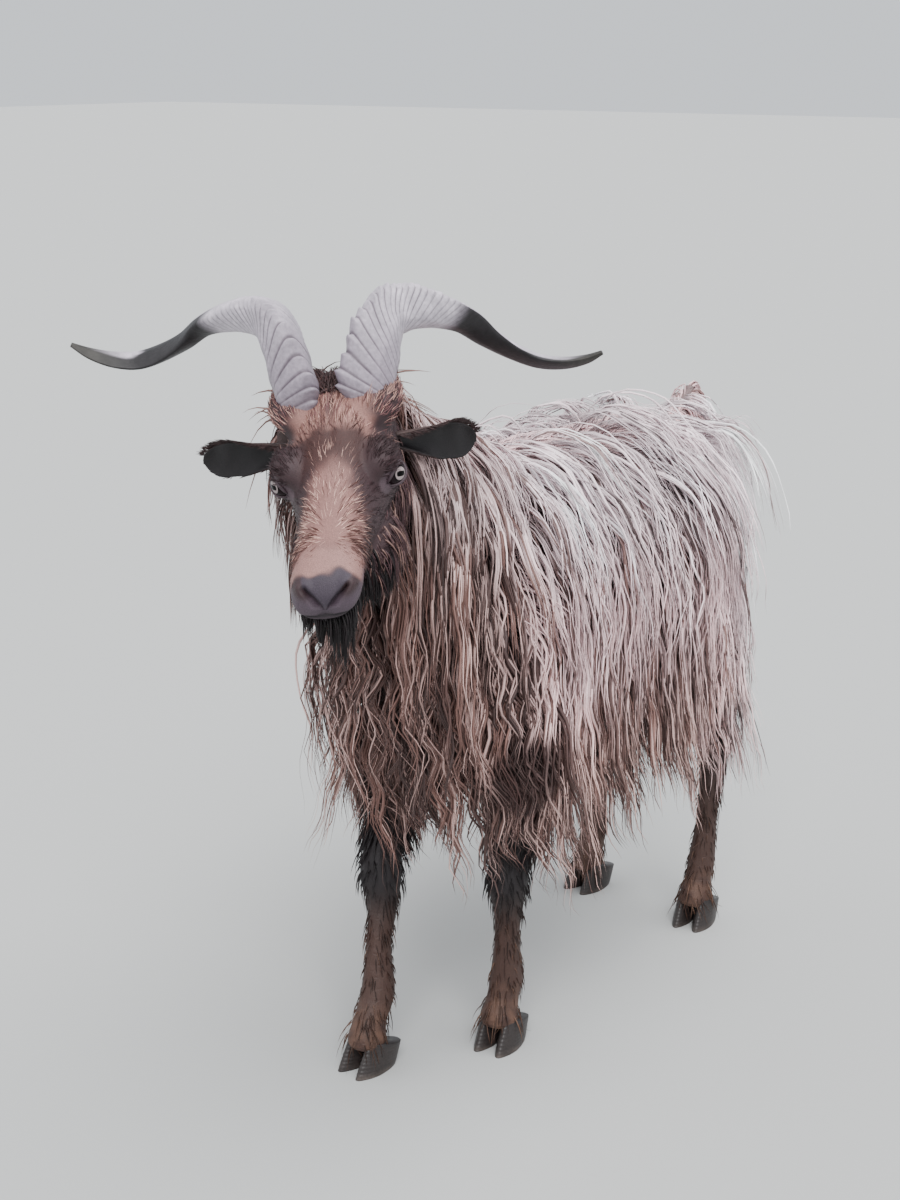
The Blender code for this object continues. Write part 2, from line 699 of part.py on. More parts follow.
def horn_rings(sign, lift, base_turn):
    """Rings of one horn, keeled in front at its base, rolling over as it sweeps out."""
    rows = spread(HORN, HORN_RINGS)
    turned = HORN_FRAME.to_3x3()
    reach = HORN[-1][0] - HORN[0][0]
    places = []
    for row in rows:
        far = ((row[0] - HORN[0][0]) / reach) ** 1.5
        places.append(HORN_FRAME @ Vector((row[0] * sign, row[1], row[2] + lift * far)))
    base = math.radians(base_turn)
    keel = turned @ Vector((-math.sin(base) * sign, -math.cos(base), 0.0))
    before = (places[1] - places[0]).normalized()
    rings = []
    for k, row in enumerate(rows):
        along = (places[min(k + 1, HORN_RINGS - 1)] - places[max(k - 1, 0)]).normalized()
        keel = before.rotation_difference(along) @ keel
        twist = math.radians(row[5] - (rows[k - 1][5] if k else 0)) * HORN_TWIST
        keel = Matrix.Rotation(twist * sign, 3, along) @ keel
        keel = (keel - along * keel.dot(along)).normalized()
        before = along
        side = along.cross(keel)
        share = k / (HORN_RINGS - 1)
        swell = 0.05 * max(0.0, 1 - share * 1.7) * math.cos(share * HORN_ANNULI * 2 * math.pi)
        points = []
        for n in range(HORN_AROUND):
            turn = 2 * math.pi * n / HORN_AROUND
            ahead = math.cos(turn)
            sharp = max(0.0, ahead)
            deep = row[3] * ahead * (1 + swell * (1 + 2 * sharp))
            wide = row[4] * math.sin(turn) * (1 - 0.40 * sharp) * (1 + swell)
            points.append(places[k] + keel * deep + side * wide)
        rings.append(points)
    return rings


def build_horns(head):
    """Each horn is cut off at the gap above the brow that carries it."""
    for name, sign in SIDES.items():
        horn = to_object(f"horn_{name}", skin_rings(horn_rings(sign, *HORN_SET[name])), "horn")
        part_from(horn, head)


# Ears: how far each sweeps back and droops.
EARS = {"left": (38, 2), "right": (18, 4)}
EAR_ROOT = (0.046, -0.002, -0.064)
EAR_WIDTH = 0.042


def ear_rings(sign, sweep, droop):
    """A cupped leaf, rolled at the root and opening forward, of two skins 3 mm apart."""
    sweep, droop = math.radians(sweep), math.radians(droop)
    level = Matrix.Rotation(HEAD_TURN, 3, "Z") @ Matrix.Rotation(math.radians(-5), 3, "Y")
    outward = level @ Vector((math.cos(sweep) * math.cos(droop) * sign, math.sin(sweep),
                              -math.sin(droop)))
    upward = level @ Vector((0, -0.35, 1.0))
    upward = (upward - outward * upward.dot(outward)).normalized()
    behind = upward.cross(outward).normalized() * -sign
    root = in_head(EAR_ROOT[0] * sign, EAR_ROOT[1], EAR_ROOT[2])
    rings = []
    for k in range(11):
        share = k / 10
        width = EAR_WIDTH * (0.62 + 1.1 * share - 0.55 * share ** 2) * (1 - share ** 5) ** 0.55
        width = max(width, 0.006)
        curl = math.radians(120 - 88 * min(1.0, share * 1.5))
        bend = width / (2 * curl)
        thick = 0.0045 - 0.0027 * share
        middle = root + outward * (EAR_LENGTH * share) + upward * (-0.008 * share ** 2)
        points = []
        for lay, order in ((bend + thick / 2, range(6)), (bend - thick / 2, range(5, -1, -1))):
            for n in order:
                turn = -curl + 2 * curl * n / 5
                points.append(middle + upward * (lay * math.sin(turn))
                              + behind * (lay * math.cos(turn) - bend))
        rings.append(points)
    return rings


def build_ears(head, torso):
    """Each ear is cut off at the gap above the head and the neck beside it."""
    for name, sign in SIDES.items():
        ear = to_object(f"ear_{name}", skin_rings(ear_rings(sign, *EARS[name])), "ear")
        part_from(ear, head, torso)


# A claw: length, width and the cleft between two; then its top's length, setback, height and slope.
CLAW_LENGTH, CLAW_WIDTH, CLEFT = 0.064, 0.0265, 0.0030
CROWN_LENGTH, CROWN_BACK, CROWN_HEIGHT, CROWN_SLOPE = 0.052, 0.012, 0.033, 0.27
FOOT_TURN = math.radians(6)      # the feet point a little outward


def claw_rings(x, y, sign, turn):
    """One claw of a cloven hoof: flat below, sloped back from the toe, parted by the cleft."""
    rings = []
    for level in (0.0, 0.35, 0.75, 1.0):
        half = (CLAW_LENGTH + (CROWN_LENGTH - CLAW_LENGTH) * level) / 2
        wide = CLAW_WIDTH * (0.5 - 0.05 * level)
        points = []
        for k in range(12):
            angle = 2 * math.pi * k / 12
            ahead = math.cos(angle)
            forward = half * ahead + 0.004 - (CROWN_BACK + 0.004) * level
            across = wide * power(math.sin(angle), 0.8) * (1.0 - 0.42 * max(0.0, ahead) ** 2)
            across += (CLAW_WIDTH + CLEFT) * 0.5
            high = (CROWN_HEIGHT + CROWN_SLOPE * CROWN_LENGTH / 2 * ahead) * level
            points.append(Vector((x, y, high)) + turn @ Vector((across * sign, -forward, 0)))
        rings.append(points)
    return rings


def build_feet():
    """Legs below the body's cut, each ending on two claws."""
    legs = []
    for kind, feet, stations in (("fore", FORE, fore_stations), ("hind", HIND, hind_stations)):
        for side in SIDES:
            x, y = feet[side]["hoof"]
            turn = Matrix.Rotation(FOOT_TURN * SIDES[side], 3, "Z")
            whole = tube(stations(side), 27, 10)
            below = sliced(whole, Vector((0, 0, LEG_CUT)), Vector((0, 0, 1)), False)
            crown = Vector((x, y, CROWN_HEIGHT + GAP)) + turn @ Vector((0, CROWN_BACK, 0))
            above = sliced(below, crown, turn @ Vector((0, CROWN_SLOPE, 1)).normalized(), True)
            whole.free()
            below.free()
            legs.append(to_object(f"{kind}leg_{side}", above, "leg"))
            for claw, sign in (("inner", -SIDES[side]), ("outer", SIDES[side])):
                rings = claw_rings(x, y, sign, turn)
                to_object(f"{kind}hoof_{side}_{claw}", skin_rings(rings), "hoof")
    return legs


TAIL = (
    (0.0, 0.222, 0.652, 0.022, 0.020),
    (0.0, 0.268, 0.676, 0.020, 0.018),
    (0.0, 0.300, 0.706, 0.015, 0.014),
    (0.0, 0.320, 0.738, 0.008, 0.008),
)


def build_tail(torso):
    tail = to_object("tail", tube(TAIL, 6, 8), "fleece")
    part_from(tail, torso)
    return tail


# Coat


# Fleece tiers: angle above level on the flank, lock length, width, flow outward, back and down.
FLEECE_TIERS = (
    (82, 0.210, 0.080, 0.85, 0.30, 0.15),
    (46, 0.215, 0.080, 0.35, 0.18, 0.90),
    (12, 0.215, 0.078, 0.10, 0.08, 1.00),
    (-22, 0.200, 0.072, 0.00, 0.08, 1.00),
)
FLEECE_COLUMNS = 7
FLEECE_FRONT, FLEECE_REAR = -0.270, 0.205
# Breast and buttock locks: angle from the midline, rise, length.
BREAST = ((-52, 6, 0.21), (-18, 6, 0.20), (18, 6, 0.20), (52, 6, 0.21),
          (-66, -18, 0.19), (-33, -18, 0.20), (0, -18, 0.18), (33, -18, 0.20), (66, -18, 0.19))
BUTTOCK = ((-46, 28, 0.19), (0, 22, 0.17), (46, 28, 0.19), (-50, -4, 0.18), (-14, -8, 0.15),
           (14, -8, 0.15), (50, -4, 0.18))
# Neck hair: place along the neck from its root, then lock length and width.
NECK_TIERS = ((0.10, 0.215, 0.070), (0.40, 0.200, 0.066), (0.70, 0.175, 0.058), (0.97, 0.125, 0.046))
NECK_LOCKS = 7
NECK_BASE, NECK_TOP = Vector((0, -0.310, 0.630)), Vector((0.020, -0.465, 0.790))


def fleece(torso, flesh):
    """Long wavy locks that part on the spine, hang down both flanks and fringe the belly."""
    coat = Coat(torso, flesh, 11)
    neck_hair(coat)
    pitch = (FLEECE_REAR - FLEECE_FRONT) / (FLEECE_COLUMNS - 1)
    for tier, (rise, length, width, out, back, down) in enumerate(FLEECE_TIERS):
        turn = math.radians(rise)
        for column in range(FLEECE_COLUMNS):
            y = FLEECE_FRONT + pitch * (column + 0.5 * (tier % 2)) + coat.draw.uniform(-0.01, 0.01)
            heart = Vector((0, min(y, FLEECE_REAR), 0.56))
            low = tier == len(FLEECE_TIERS) - 1
            reach = 1.0 + 1.75 * max(0.0, -0.06 - y) * low
            for sign in SIDES.values():
                coat.cast(heart, Vector((math.cos(turn) * sign, 0.0, math.sin(turn))),
                          Vector((out * sign, back, -down)), length * reach, width,
                          lift=0.026, blow=0.10 if low else 0.04)
    for heart, ahead, ring_of_locks in ((Vector((0, -0.20, 0.50)), -1, BREAST),
                                        (Vector((0, 0.12, 0.56)), 1, BUTTOCK)):
        for around, rise, length in ring_of_locks:
            across, up = math.sin(math.radians(around)), math.tan(math.radians(rise))
            coat.cast(heart, Vector((across, ahead * math.cos(math.radians(around)), up)),
                      Vector((across * 0.3, 0.2, -1)), length, 0.070, lift=0.020, blow=0.04)
    coat.fuse()


def neck_hair(coat):
    """Mane, throat and chest: rings of locks that hang from the neck over the shoulders."""
    axis = (NECK_TOP - NECK_BASE).normalized()
    across = Vector((1, 0, 0))
    crest = across.cross(axis).normalized()
    for tier, (place, length, width) in enumerate(NECK_TIERS):
        heart = NECK_BASE.lerp(NECK_TOP, place)
        for n in range(NECK_LOCKS):
            turn = math.radians(-90) + 2 * math.pi * (n + 0.5 * (tier % 2)) / NECK_LOCKS
            out = across * math.cos(turn) + crest * math.sin(turn)
            flow = Vector((out.x * 0.4, 0.15, -1)) - axis * 0.2
            coat.cast(heart, out, flow, length, width, blow=0.03, droop=0.45)


BEARD_ROWS = ((0.150, 0.016, 0.090), (0.172, 0.010, 0.125), (0.190, 0.012, 0.110))


def beard(head, flesh):
    """Tufts under the chin and jaw, the forelock between the horns and hair behind the cheeks."""
    coat = Coat(head, flesh, 37)
    down = HEAD.to_3x3() @ Vector((0, 0.2, -1))
    for forward, half, length in BEARD_ROWS:
        for across in (-1, 0, 1):
            coat.cast(in_head(half * across, forward, -0.06), down + Vector((0, 0, -0.2)),
                      Vector((0.1 * across, 0.1, -1)), length, 0.026, lift=0.0, droop=0.6,
                      thick=0.012)
    for sign in SIDES.values():
        for forward, drop, length in ((0.110, -0.10, 0.080), (0.060, -0.12, 0.095),
                                      (0.010, -0.115, 0.100)):
            out = HEAD.to_3x3() @ Vector((0.9 * sign, 0, -0.75))
            coat.cast(in_head(0, forward, drop + 0.04), out, Vector((0.1 * sign, 0.3, -1)),
                      length, 0.034, lift=0.010, thick=0.010)
    for across in (-0.010, 0.010):
        coat.cast(in_head(across, -0.010, -0.05), HEAD.to_3x3() @ Vector((0, 0, 1)),
                  HEAD.to_3x3() @ Vector((across * 20, 0.7, 0.7)), 0.055, 0.020,
                  lift=0.014, droop=0.0, thick=0.009)
    coat.fuse()


def tail_hair(tail, flesh):
    """A short brush of locks along the raised tail."""
    coat = Coat(tail, flesh, 42)
    for place, length in ((0.25, 0.060), (0.6, 0.070), (0.9, 0.060)):
        heart = Vector(TAIL[1][:3]).lerp(Vector(TAIL[3][:3]), place)
        for sign in SIDES.values():
            coat.cast(heart, Vector((sign, 0.4, 0.2)), Vector((0.35 * sign, 0.5, 0.5 - place)),
                      length, 0.022, lift=0.006, droop=0.15, thick=0.008)
    coat.fuse()


def centre_origin():
    """Sets the origin on the floor under the middle of the goat."""
    for obj in bpy.data.objects:
        obj.data.transform(Matrix.Translation(ORIGIN_SHIFT))


def main():
    clear_scene()
    torso = build_trunk()
    head = build_head()
    build_horns(head)
    build_ears(head, torso)
    build_feet()
    tail = build_tail(torso)
    flesh = {obj.name: tree(obj) for obj in bpy.context.scene.objects}
    beard(head, flesh)
    fleece(torso, flesh)
    tail_hair(tail, flesh)
    part_neck(torso)
    centre_origin()


main()
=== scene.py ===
"""An old Irish goat, a mature billy with a long wavy coat, standing still at life size."""
import math

import bpy
import numpy as np
from mathutils import Matrix, Vector
from mathutils.bvhtree import BVHTree


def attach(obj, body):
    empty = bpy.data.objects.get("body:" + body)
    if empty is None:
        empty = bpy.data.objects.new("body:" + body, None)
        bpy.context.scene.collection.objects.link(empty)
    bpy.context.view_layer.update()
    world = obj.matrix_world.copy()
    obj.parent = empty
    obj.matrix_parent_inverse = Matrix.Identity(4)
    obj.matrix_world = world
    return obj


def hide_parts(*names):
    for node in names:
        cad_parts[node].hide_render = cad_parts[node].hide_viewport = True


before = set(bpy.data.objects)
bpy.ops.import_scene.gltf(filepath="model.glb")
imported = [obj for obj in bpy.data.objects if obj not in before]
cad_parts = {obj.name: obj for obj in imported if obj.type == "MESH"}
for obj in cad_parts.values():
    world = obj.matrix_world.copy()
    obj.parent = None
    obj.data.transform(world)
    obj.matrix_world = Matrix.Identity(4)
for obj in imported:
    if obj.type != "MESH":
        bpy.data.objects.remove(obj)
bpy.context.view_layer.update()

# Studio: a pale floor that runs out of sight, a broad soft sun from the front left, weaker ones
# from the right and from above, and a pale sky all round, seen from a person's height.
# The camera stands where the onlooker stood, three paces off the goat's left shoulder.
MIDDLE = np.array([0.0204, 0.1446, 0.0])        # from the goat's own origin to the middle of its stance
ONLOOKER = np.array([1.1592, -1.8306, 1.17])
LOOK_TURN, LOOK_DROP = math.radians(36), math.radians(17)
LENS, SENSOR = 54, 36
FLOOR_REACH, FLOOR_GREY = 30.0, (0.43, 0.435, 0.43, 1)
SKY_BLUE, SKY_STRENGTH = (0.86, 0.90, 0.95, 1), 1.05

camera = bpy.data.objects.new("camera", bpy.data.cameras.new("camera"))
camera.data.lens = LENS
camera.data.sensor_width = SENSOR
camera.location = ONLOOKER + MIDDLE
camera.rotation_euler = (math.pi / 2 - LOOK_DROP, 0, LOOK_TURN)
bpy.context.scene.collection.objects.link(camera)
bpy.context.scene.camera = camera

corners = np.array([[-1, -1, 0], [1, -1, 0], [1, 1, 0], [-1, 1, 0]]) * FLOOR_REACH
floor_mesh = bpy.data.meshes.new("floor")
floor_mesh.from_pydata([tuple(c) for c in corners], [], [(0, 1, 2, 3)])
floor = bpy.data.objects.new("floor", floor_mesh)
bpy.context.scene.collection.objects.link(floor)
floor_paint = bpy.data.materials.new("floor_paint")
floor_paint.use_nodes = True
floor_shader = floor_paint.node_tree.nodes["Principled BSDF"]
floor_shader.inputs["Base Color"].default_value = FLOOR_GREY
floor_shader.inputs["Roughness"].default_value = 0.9
floor_mesh.materials.append(floor_paint)

sky = bpy.data.worlds.new("sky")
sky.use_nodes = True
sky.node_tree.nodes["Background"].inputs["Color"].default_value = SKY_BLUE
sky.node_tree.nodes["Background"].inputs["Strength"].default_value = SKY_STRENGTH
bpy.context.scene.world = sky

# Suns: where each one stands, how wide it looks in degrees, and its strength.
LIGHTS = {
    "key": ((1.9, -2.3, 3.4), 38, 3.2),
    "fill": ((-2.6, -2.4, 3.6), 60, 0.6),
    "top": ((0.9, 0.6, 3.6), 50, 2.6),
}
for name, (stand, breadth, strength) in LIGHTS.items():
    lamp = bpy.data.objects.new(name, bpy.data.lights.new(name, "SUN"))
    lamp.data.angle = math.radians(breadth)
    lamp.data.energy = strength
    lamp.location = stand
    aim = Vector((0.0, 0.0, 0.5)) - Vector(stand)
    lamp.rotation_euler = aim.to_track_quat("-Z", "Y").to_euler()
    bpy.context.scene.collection.objects.link(lamp)


# Body skin: the hide over barrel, neck, legs and tail.  It is dark and close-haired, with the
# long coat rooted in it; only the legs below the coat and the face show their short hair.
# Each limb is an oval tube eased through a few stations, and all run together as flesh does.
TORSO = (                      # y, top, bottom, half width
    (-0.330, 0.595, 0.482, 0.052),
    (-0.296, 0.662, 0.430, 0.090),
    (-0.240, 0.716, 0.390, 0.110),
    (-0.170, 0.730, 0.374, 0.120),
    (-0.060, 0.722, 0.360, 0.137),
    (0.060, 0.715, 0.358, 0.146),
    (0.140, 0.714, 0.388, 0.126),
    (0.198, 0.698, 0.440, 0.098),
    (0.240, 0.670, 0.506, 0.070),
    (0.261, 0.636, 0.558, 0.038),
)
NECK = (                       # x, y, z, half width, half depth
    (0.000, -0.190, 0.580, 0.085, 0.130),
    (0.000, -0.270, 0.640, 0.080, 0.118),
    (0.000, -0.350, 0.705, 0.070, 0.098),
    (0.006, -0.420, 0.762, 0.062, 0.082),
    (0.022, -0.475, 0.800, 0.056, 0.070),
)
TAIL = (
    (0.0, 0.222, 0.652, 0.020, 0.018),
    (0.0, 0.268, 0.676, 0.018, 0.016),
    (0.0, 0.300, 0.706, 0.013, 0.012),
    (0.0, 0.320, 0.738, 0.006, 0.006),
)
# Where each foot stands and how the joints above it lie: x, y of the hoof, knee or hock, elbow or stifle.
FORE = {                       # 1 is the left side and -1 the right
    1: ((0.055, -0.206), (0.067, -0.208), (0.083, -0.190)),
    -1: ((-0.044, -0.342), (-0.062, -0.288), (-0.083, -0.205)),
}
HIND = {
    1: ((0.092, 0.222), (0.094, 0.262), (0.098, 0.142)),
    -1: ((-0.090, 0.232), (-0.094, 0.272), (-0.098, 0.148)),
}
SKIN_VOXEL = 0.0065


def paint(red, green, blue):
    """A colour as the eye names it, 0 to 255, in the linear measure that shaders use."""
    return (np.array([red, green, blue]) / 255.0) ** 2.2


def eased(stations, count, measured=3):
    """Rows eased through the stations by Catmull-Rom, evenly by chord length.

    A row weighs four neighbouring stations by cubics of its place t between the middle two;
    the chord is measured over the first columns."""
    rows = np.asarray(stations, float)
    chord = np.linalg.norm(np.diff(rows[:, :measured], axis=0), axis=1)
    knots = np.concatenate([[0.0], np.cumsum(chord)])
    ends = np.vstack([2 * rows[0] - rows[1], rows, 2 * rows[-1] - rows[-2]])
    place = np.linspace(0.0, knots[-1], count)
    k = np.clip(np.searchsorted(knots, place, side="right") - 1, 0, len(rows) - 2)
    t = ((place - knots[k]) / (knots[k + 1] - knots[k]))[:, None]
    p0, p1, p2, p3 = ends[k], ends[k + 1], ends[k + 2], ends[k + 3]
    return 0.5 * (2 * p1 + (p2 - p0) * t + (2 * p0 - 5 * p1 + 4 * p2 - p3) * t ** 2
                  + (3 * p1 - p0 - 3 * p2 + p3) * t ** 3)


def unit(vectors):
    """Vectors at length one."""
    return vectors / np.maximum(np.linalg.norm(vectors, axis=-1, keepdims=True), 1e-12)


def circle(count):
    """That many angles, evenly all the way round."""
    return np.linspace(0, 2 * np.pi, count, endpoint=False)


def signed_power(values, power):
    """The size of each value to a power, with its sign kept."""
    return np.sign(values) * np.abs(values) ** power


def oval_tube(stations, count, around):
    """A grid of rings: centre + width line * half width * cos + depth line * half depth * sin.

    The width line lies level across the goat, and the depth line is square to it and the path."""
    rows = eased(stations, count)
    along = unit(np.gradient(rows[:, :3], axis=0))
    depth = unit(np.cross(along, [1.0, 0.0, 0.0]))
    width = np.cross(depth, along)
    turn = circle(around)[None, :, None]
    return (rows[:, None, :3] + width[:, None] * rows[:, None, 3:4] * np.cos(turn)
            + depth[:, None] * rows[:, None, 4:5] * np.sin(turn))


def barrel(count, around, square=2.15, draw_in=0.30):
    """A grid of superellipse rings across the torso, drawn in above towards the spine.

    x = half width * |cos| ** (2 / square), narrowed by draw_in * rise ** 1.5; z likewise with sin."""
    rows = eased([(0.0, y, (a + b) / 2, (a - b) / 2, w) for y, a, b, w in TORSO], count)
    turn = circle(around)[None, :]
    rise = signed_power(np.sin(turn), 2 / square)
    across = signed_power(np.cos(turn), 2 / square)
    across = across * (1 - draw_in * np.clip(rise, 0, 1) ** 1.5)
    return np.stack([rows[:, 4:5] * across, np.broadcast_to(rows[:, 1:2], (count, around)),
                     rows[:, 2:3] + rows[:, 3:4] * rise], -1)


def foreleg(side):
    """Stations of a foreleg from the shoulder blade to the crown of the hoof."""
    (hx, hy), (kx, ky), (ex, ey) = FORE[side]
    dx, dy = kx - hx, ky - hy
    return (
        (0.050 * side, -0.185, 0.640, 0.036, 0.056), (0.078 * side, -0.225, 0.540, 0.045, 0.078),
        (ex, ey, 0.405, 0.038, 0.054), (ex * 0.45 + kx * 0.55, ey * 0.45 + ky * 0.55, 0.305, 0.027, 0.033),
        (kx, ky, 0.250, 0.0235, 0.0255), (kx, ky - 0.002, 0.222, 0.0250, 0.0265),
        (kx - 0.15 * dx, ky - 0.10 * dy + 0.002, 0.188, 0.0180, 0.0200),
        (hx + 0.45 * dx, hy + 0.50 * dy + 0.006, 0.140, 0.0150, 0.0175),
        (hx + 0.10 * dx, hy + 0.20 * dy + 0.012, 0.088, 0.0200, 0.0230),
        (hx, hy + 0.005, 0.060, 0.0190, 0.0215), (hx, hy - 0.002, 0.036, 0.0240, 0.0255),
        (hx, hy - 0.004, 0.026, 0.0215, 0.0235),
    )


def hindleg(side):
    """Stations of a hind leg from the hip to the crown of the hoof."""
    (hx, hy), (kx, ky), (ex, ey) = HIND[side]
    return (
        (0.046 * side, 0.205, 0.650, 0.038, 0.060), (0.068 * side, 0.196, 0.565, 0.049, 0.082),
        (0.082 * side, 0.176, 0.490, 0.049, 0.082), (ex, ey + 0.020, 0.420, 0.041, 0.062),
        (ex * 0.5 + kx * 0.5, ey * 0.42 + ky * 0.58, 0.345, 0.0265, 0.0350),
        (kx, ky - 0.012, 0.298, 0.0190, 0.0265), (kx, ky - 0.002, 0.268, 0.0200, 0.0255),
        (kx, ky - 0.012, 0.225, 0.0155, 0.0210), (kx, ky - 0.020, 0.150, 0.0140, 0.0180),
        (hx, hy + 0.014, 0.088, 0.0185, 0.0220), (hx, hy + 0.006, 0.060, 0.0180, 0.0210),
        (hx, hy - 0.002, 0.036, 0.0225, 0.0245), (hx, hy - 0.004, 0.026, 0.0205, 0.0225),
    )


def ring_quads(rings, around, closed=False):
    """Quads between rings laid one after another, and if closed from the last ring to the first.

    Corners are k, n, then k, n + 1, then k + 1, n + 1, then k + 1, n, with n closed round."""
    k, n = np.meshgrid(np.arange(rings if closed else rings - 1), np.arange(around), indexing="ij")
    here, after, beside = k * around, (k + 1) % rings * around, (n + 1) % around
    return np.stack([here + n, here + beside, after + beside, after + n], -1).reshape(-1, 4)


def piece(name, points, *faces):
    """One mesh object at the origin, from points and arrays of triangles and quads, faces out.

    The sign of the volume, a third of the sum of corner . (edge x edge) / 2, tells which way they turn."""
    fans = [f[:, [0, i, i + 1]] for f in faces for i in range(1, f.shape[1] - 1)]
    a, b, c = np.moveaxis(points[np.concatenate(fans)], 1, 0)
    if np.einsum("ij,ij->", a - points.mean(0), np.cross(b - a, c - a)) < 0:
        faces = [f[:, ::-1] for f in faces]
    sizes = np.concatenate([np.full(len(f), f.shape[1]) for f in faces])
    corners = np.concatenate([f.reshape(-1) for f in faces]).astype(np.int32)
    mesh = bpy.data.meshes.new(name)
    mesh.vertices.add(len(points))
    mesh.vertices.foreach_set("co", points.astype(np.float32).ravel())
    mesh.loops.add(len(corners))
    mesh.loops.foreach_set("vertex_index", corners)
    mesh.polygons.add(len(sizes))
    mesh.polygons.foreach_set("loop_start", (np.cumsum(sizes) - sizes).astype(np.int32))
    mesh.polygons.foreach_set("use_smooth", np.ones(len(sizes), bool))
    mesh.update(calc_edges=True)
    obj = bpy.data.objects.new(name, mesh)
    bpy.context.scene.collection.objects.link(obj)
    return obj


def with_poles(grid):
    """The values of a grid one after another, then the mean of each end ring for its pole."""
    return np.concatenate([grid.reshape(-1, 3), grid[:1].mean(1), grid[-1:].mean(1)])


def closed_tube(name, grid):
    """A piece over a grid of rings, closed by triangles to a pole at the middle of each end ring."""
    rings, around = grid.shape[:2]
    n = np.arange(around)
    beside, end, pole = (n + 1) % around, (rings - 1) * around, rings * around
    low = np.stack([beside, n, np.full(around, pole)], -1)
    high = np.stack([end + n, end + beside, np.full(around, pole + 1)], -1)
    return piece(name, with_poles(grid), ring_quads(rings, around), np.concatenate([low, high]))


def read_points(obj):
    """An object's points and its triangles, as arrays."""
    mesh = obj.data
    points = np.empty(len(mesh.vertices) * 3, np.float32)
    mesh.vertices.foreach_get("co", points)
    mesh.calc_loop_triangles()
    triangles = np.empty(len(mesh.loop_triangles) * 3, np.int32)
    mesh.loop_triangles.foreach_get("vertices", triangles)
    return points.reshape(-1, 3).astype(float), triangles.reshape(-1, 3)


def merged(name, objects):
    """One object from several, whose own objects are removed."""
    with bpy.context.temp_override(active_object=objects[0], object=objects[0],
                                   selected_objects=objects, selected_editable_objects=objects):
        bpy.ops.object.join()
    objects[0].name = name
    return objects[0]


flesh = [closed_tube("barrel", barrel(60, 48)), closed_tube("neck", oval_tube(NECK, 30, 40)),
         closed_tube("tail", oval_tube(TAIL, 16, 24))]
for side in (1, -1):
    flesh.append(closed_tube("foreleg", oval_tube(foreleg(side), 90, 32)))
    flesh.append(closed_tube("hindleg", oval_tube(hindleg(side), 90, 32)))
body = merged("body", flesh)
run_together = body.modifiers.new("run_together", "REMESH")
run_together.voxel_size = SKIN_VOXEL
soften = body.modifiers.new("soften", "SMOOTH")
soften.factor = 0.5
soften.iterations = 4
evaluated = body.evaluated_get(bpy.context.evaluated_depsgraph_get())
body_mesh = bpy.data.meshes.new_from_object(evaluated)
bpy.data.objects.remove(body)
body = bpy.data.objects.new("body", body_mesh)
bpy.context.scene.collection.objects.link(body)


# Head skin: a long straight face, turned to the onlooker and a little rolled, with full cheeks,
# heavy brows over deep-set eyes, a soft nose pad with slit nostrils, and a split upper lip.
# It is one grid of rings about the line of the skull, swelled by balls of flesh from within,
# then worked with grooves and hollows along its own normals.
FOREHEAD = np.array([0.055, -0.506, 0.851])    # on the midline, just in front of the horns
HEAD_TURN, HEAD_PITCH, HEAD_ROLL = math.radians(36), math.radians(30), math.radians(-8.5)
FACE = (                       # forward, top, bottom, half width, squareness, draw-in above and below
    (-0.062, -0.034, -0.095, 0.034, 2.0, 0.05, 0.10),
    (-0.045, -0.012, -0.115, 0.048, 2.1, 0.05, 0.20),
    (-0.010, 0.000, -0.134, 0.055, 2.2, 0.08, 0.32),
    (0.030, -0.001, -0.140, 0.0575, 2.2, 0.10, 0.40),
    (0.060, -0.008, -0.137, 0.055, 2.2, 0.13, 0.42),
    (0.090, -0.015, -0.127, 0.048, 2.2, 0.17, 0.40),
    (0.118, -0.020, -0.113, 0.0415, 2.2, 0.17, 0.32),
    (0.146, -0.025, -0.100, 0.0370, 2.3, 0.14, 0.22),
    (0.172, -0.029, -0.093, 0.0355, 2.4, 0.10, 0.18),
    (0.194, -0.033, -0.089, 0.0355, 2.5, 0.06, 0.18),
    (0.209, -0.038, -0.086, 0.0325, 2.5, 0.04, 0.18),
    (0.220, -0.048, -0.081, 0.0265, 2.3, 0.02, 0.12),
    (0.224, -0.058, -0.073, 0.0150, 2.0, 0.00, 0.05),
)
EYE = np.array([0.0520, 0.066, -0.0475])       # left, forward, dorsal
EYE_RADIUS = 0.0135
SWELLINGS = (                  # left, forward, dorsal, then the half sizes of each ball of flesh
    ((0.043, 0.060, -0.033), (0.020, 0.024, 0.018)),
    ((0.037, 0.025, -0.085), (0.020, 0.045, 0.038)),
    ((0.019, 0.204, -0.050), (0.0125, 0.016, 0.0125)),
    ((0.018, 0.196, -0.066), (0.0155, 0.024, 0.016)),
    ((0.052, 0.066, -0.0475), (0.0158, 0.0158, 0.0158)),
    ((0.033, -0.014, -0.020), (0.034, 0.042, 0.024)),
    ((0.000, 0.190, -0.088), (0.019, 0.024, 0.014)),
    ((0.026, 0.095, -0.098), (0.024, 0.060, 0.028)),
)
MOUTH_DROP = -0.0735           # the line between the lips, below the forehead
HEAD_RINGS, HEAD_AROUND = 220, 250
FAN_FROM = 0.178               # forward of this the rays from within fan out over the nose
SOFT = 0.004                   # half width of the soft join between the skull and a swelling
FACE_INSET = 0.0012            # the short hair's depth, by which the skin lies inside the solid face


def turned(axis, angle):
    """The matrix of a turn about x, y or z."""
    c, s = math.cos(angle), math.sin(angle)
    i, j = {"x": (1, 2), "y": (2, 0), "z": (0, 1)}[axis]
    matrix = np.eye(3)
    matrix[i, i] = matrix[j, j] = c
    matrix[i, j], matrix[j, i] = -s, s
    return matrix


HEAD = turned("z", HEAD_TURN) @ turned("x", HEAD_PITCH) @ turned("y", HEAD_ROLL)


def head_line(lines):
    """Directions given as left, forward and dorsal of the head, in the goat's own frame."""
    return (lines * [1.0, -1.0, 1.0]) @ HEAD.T


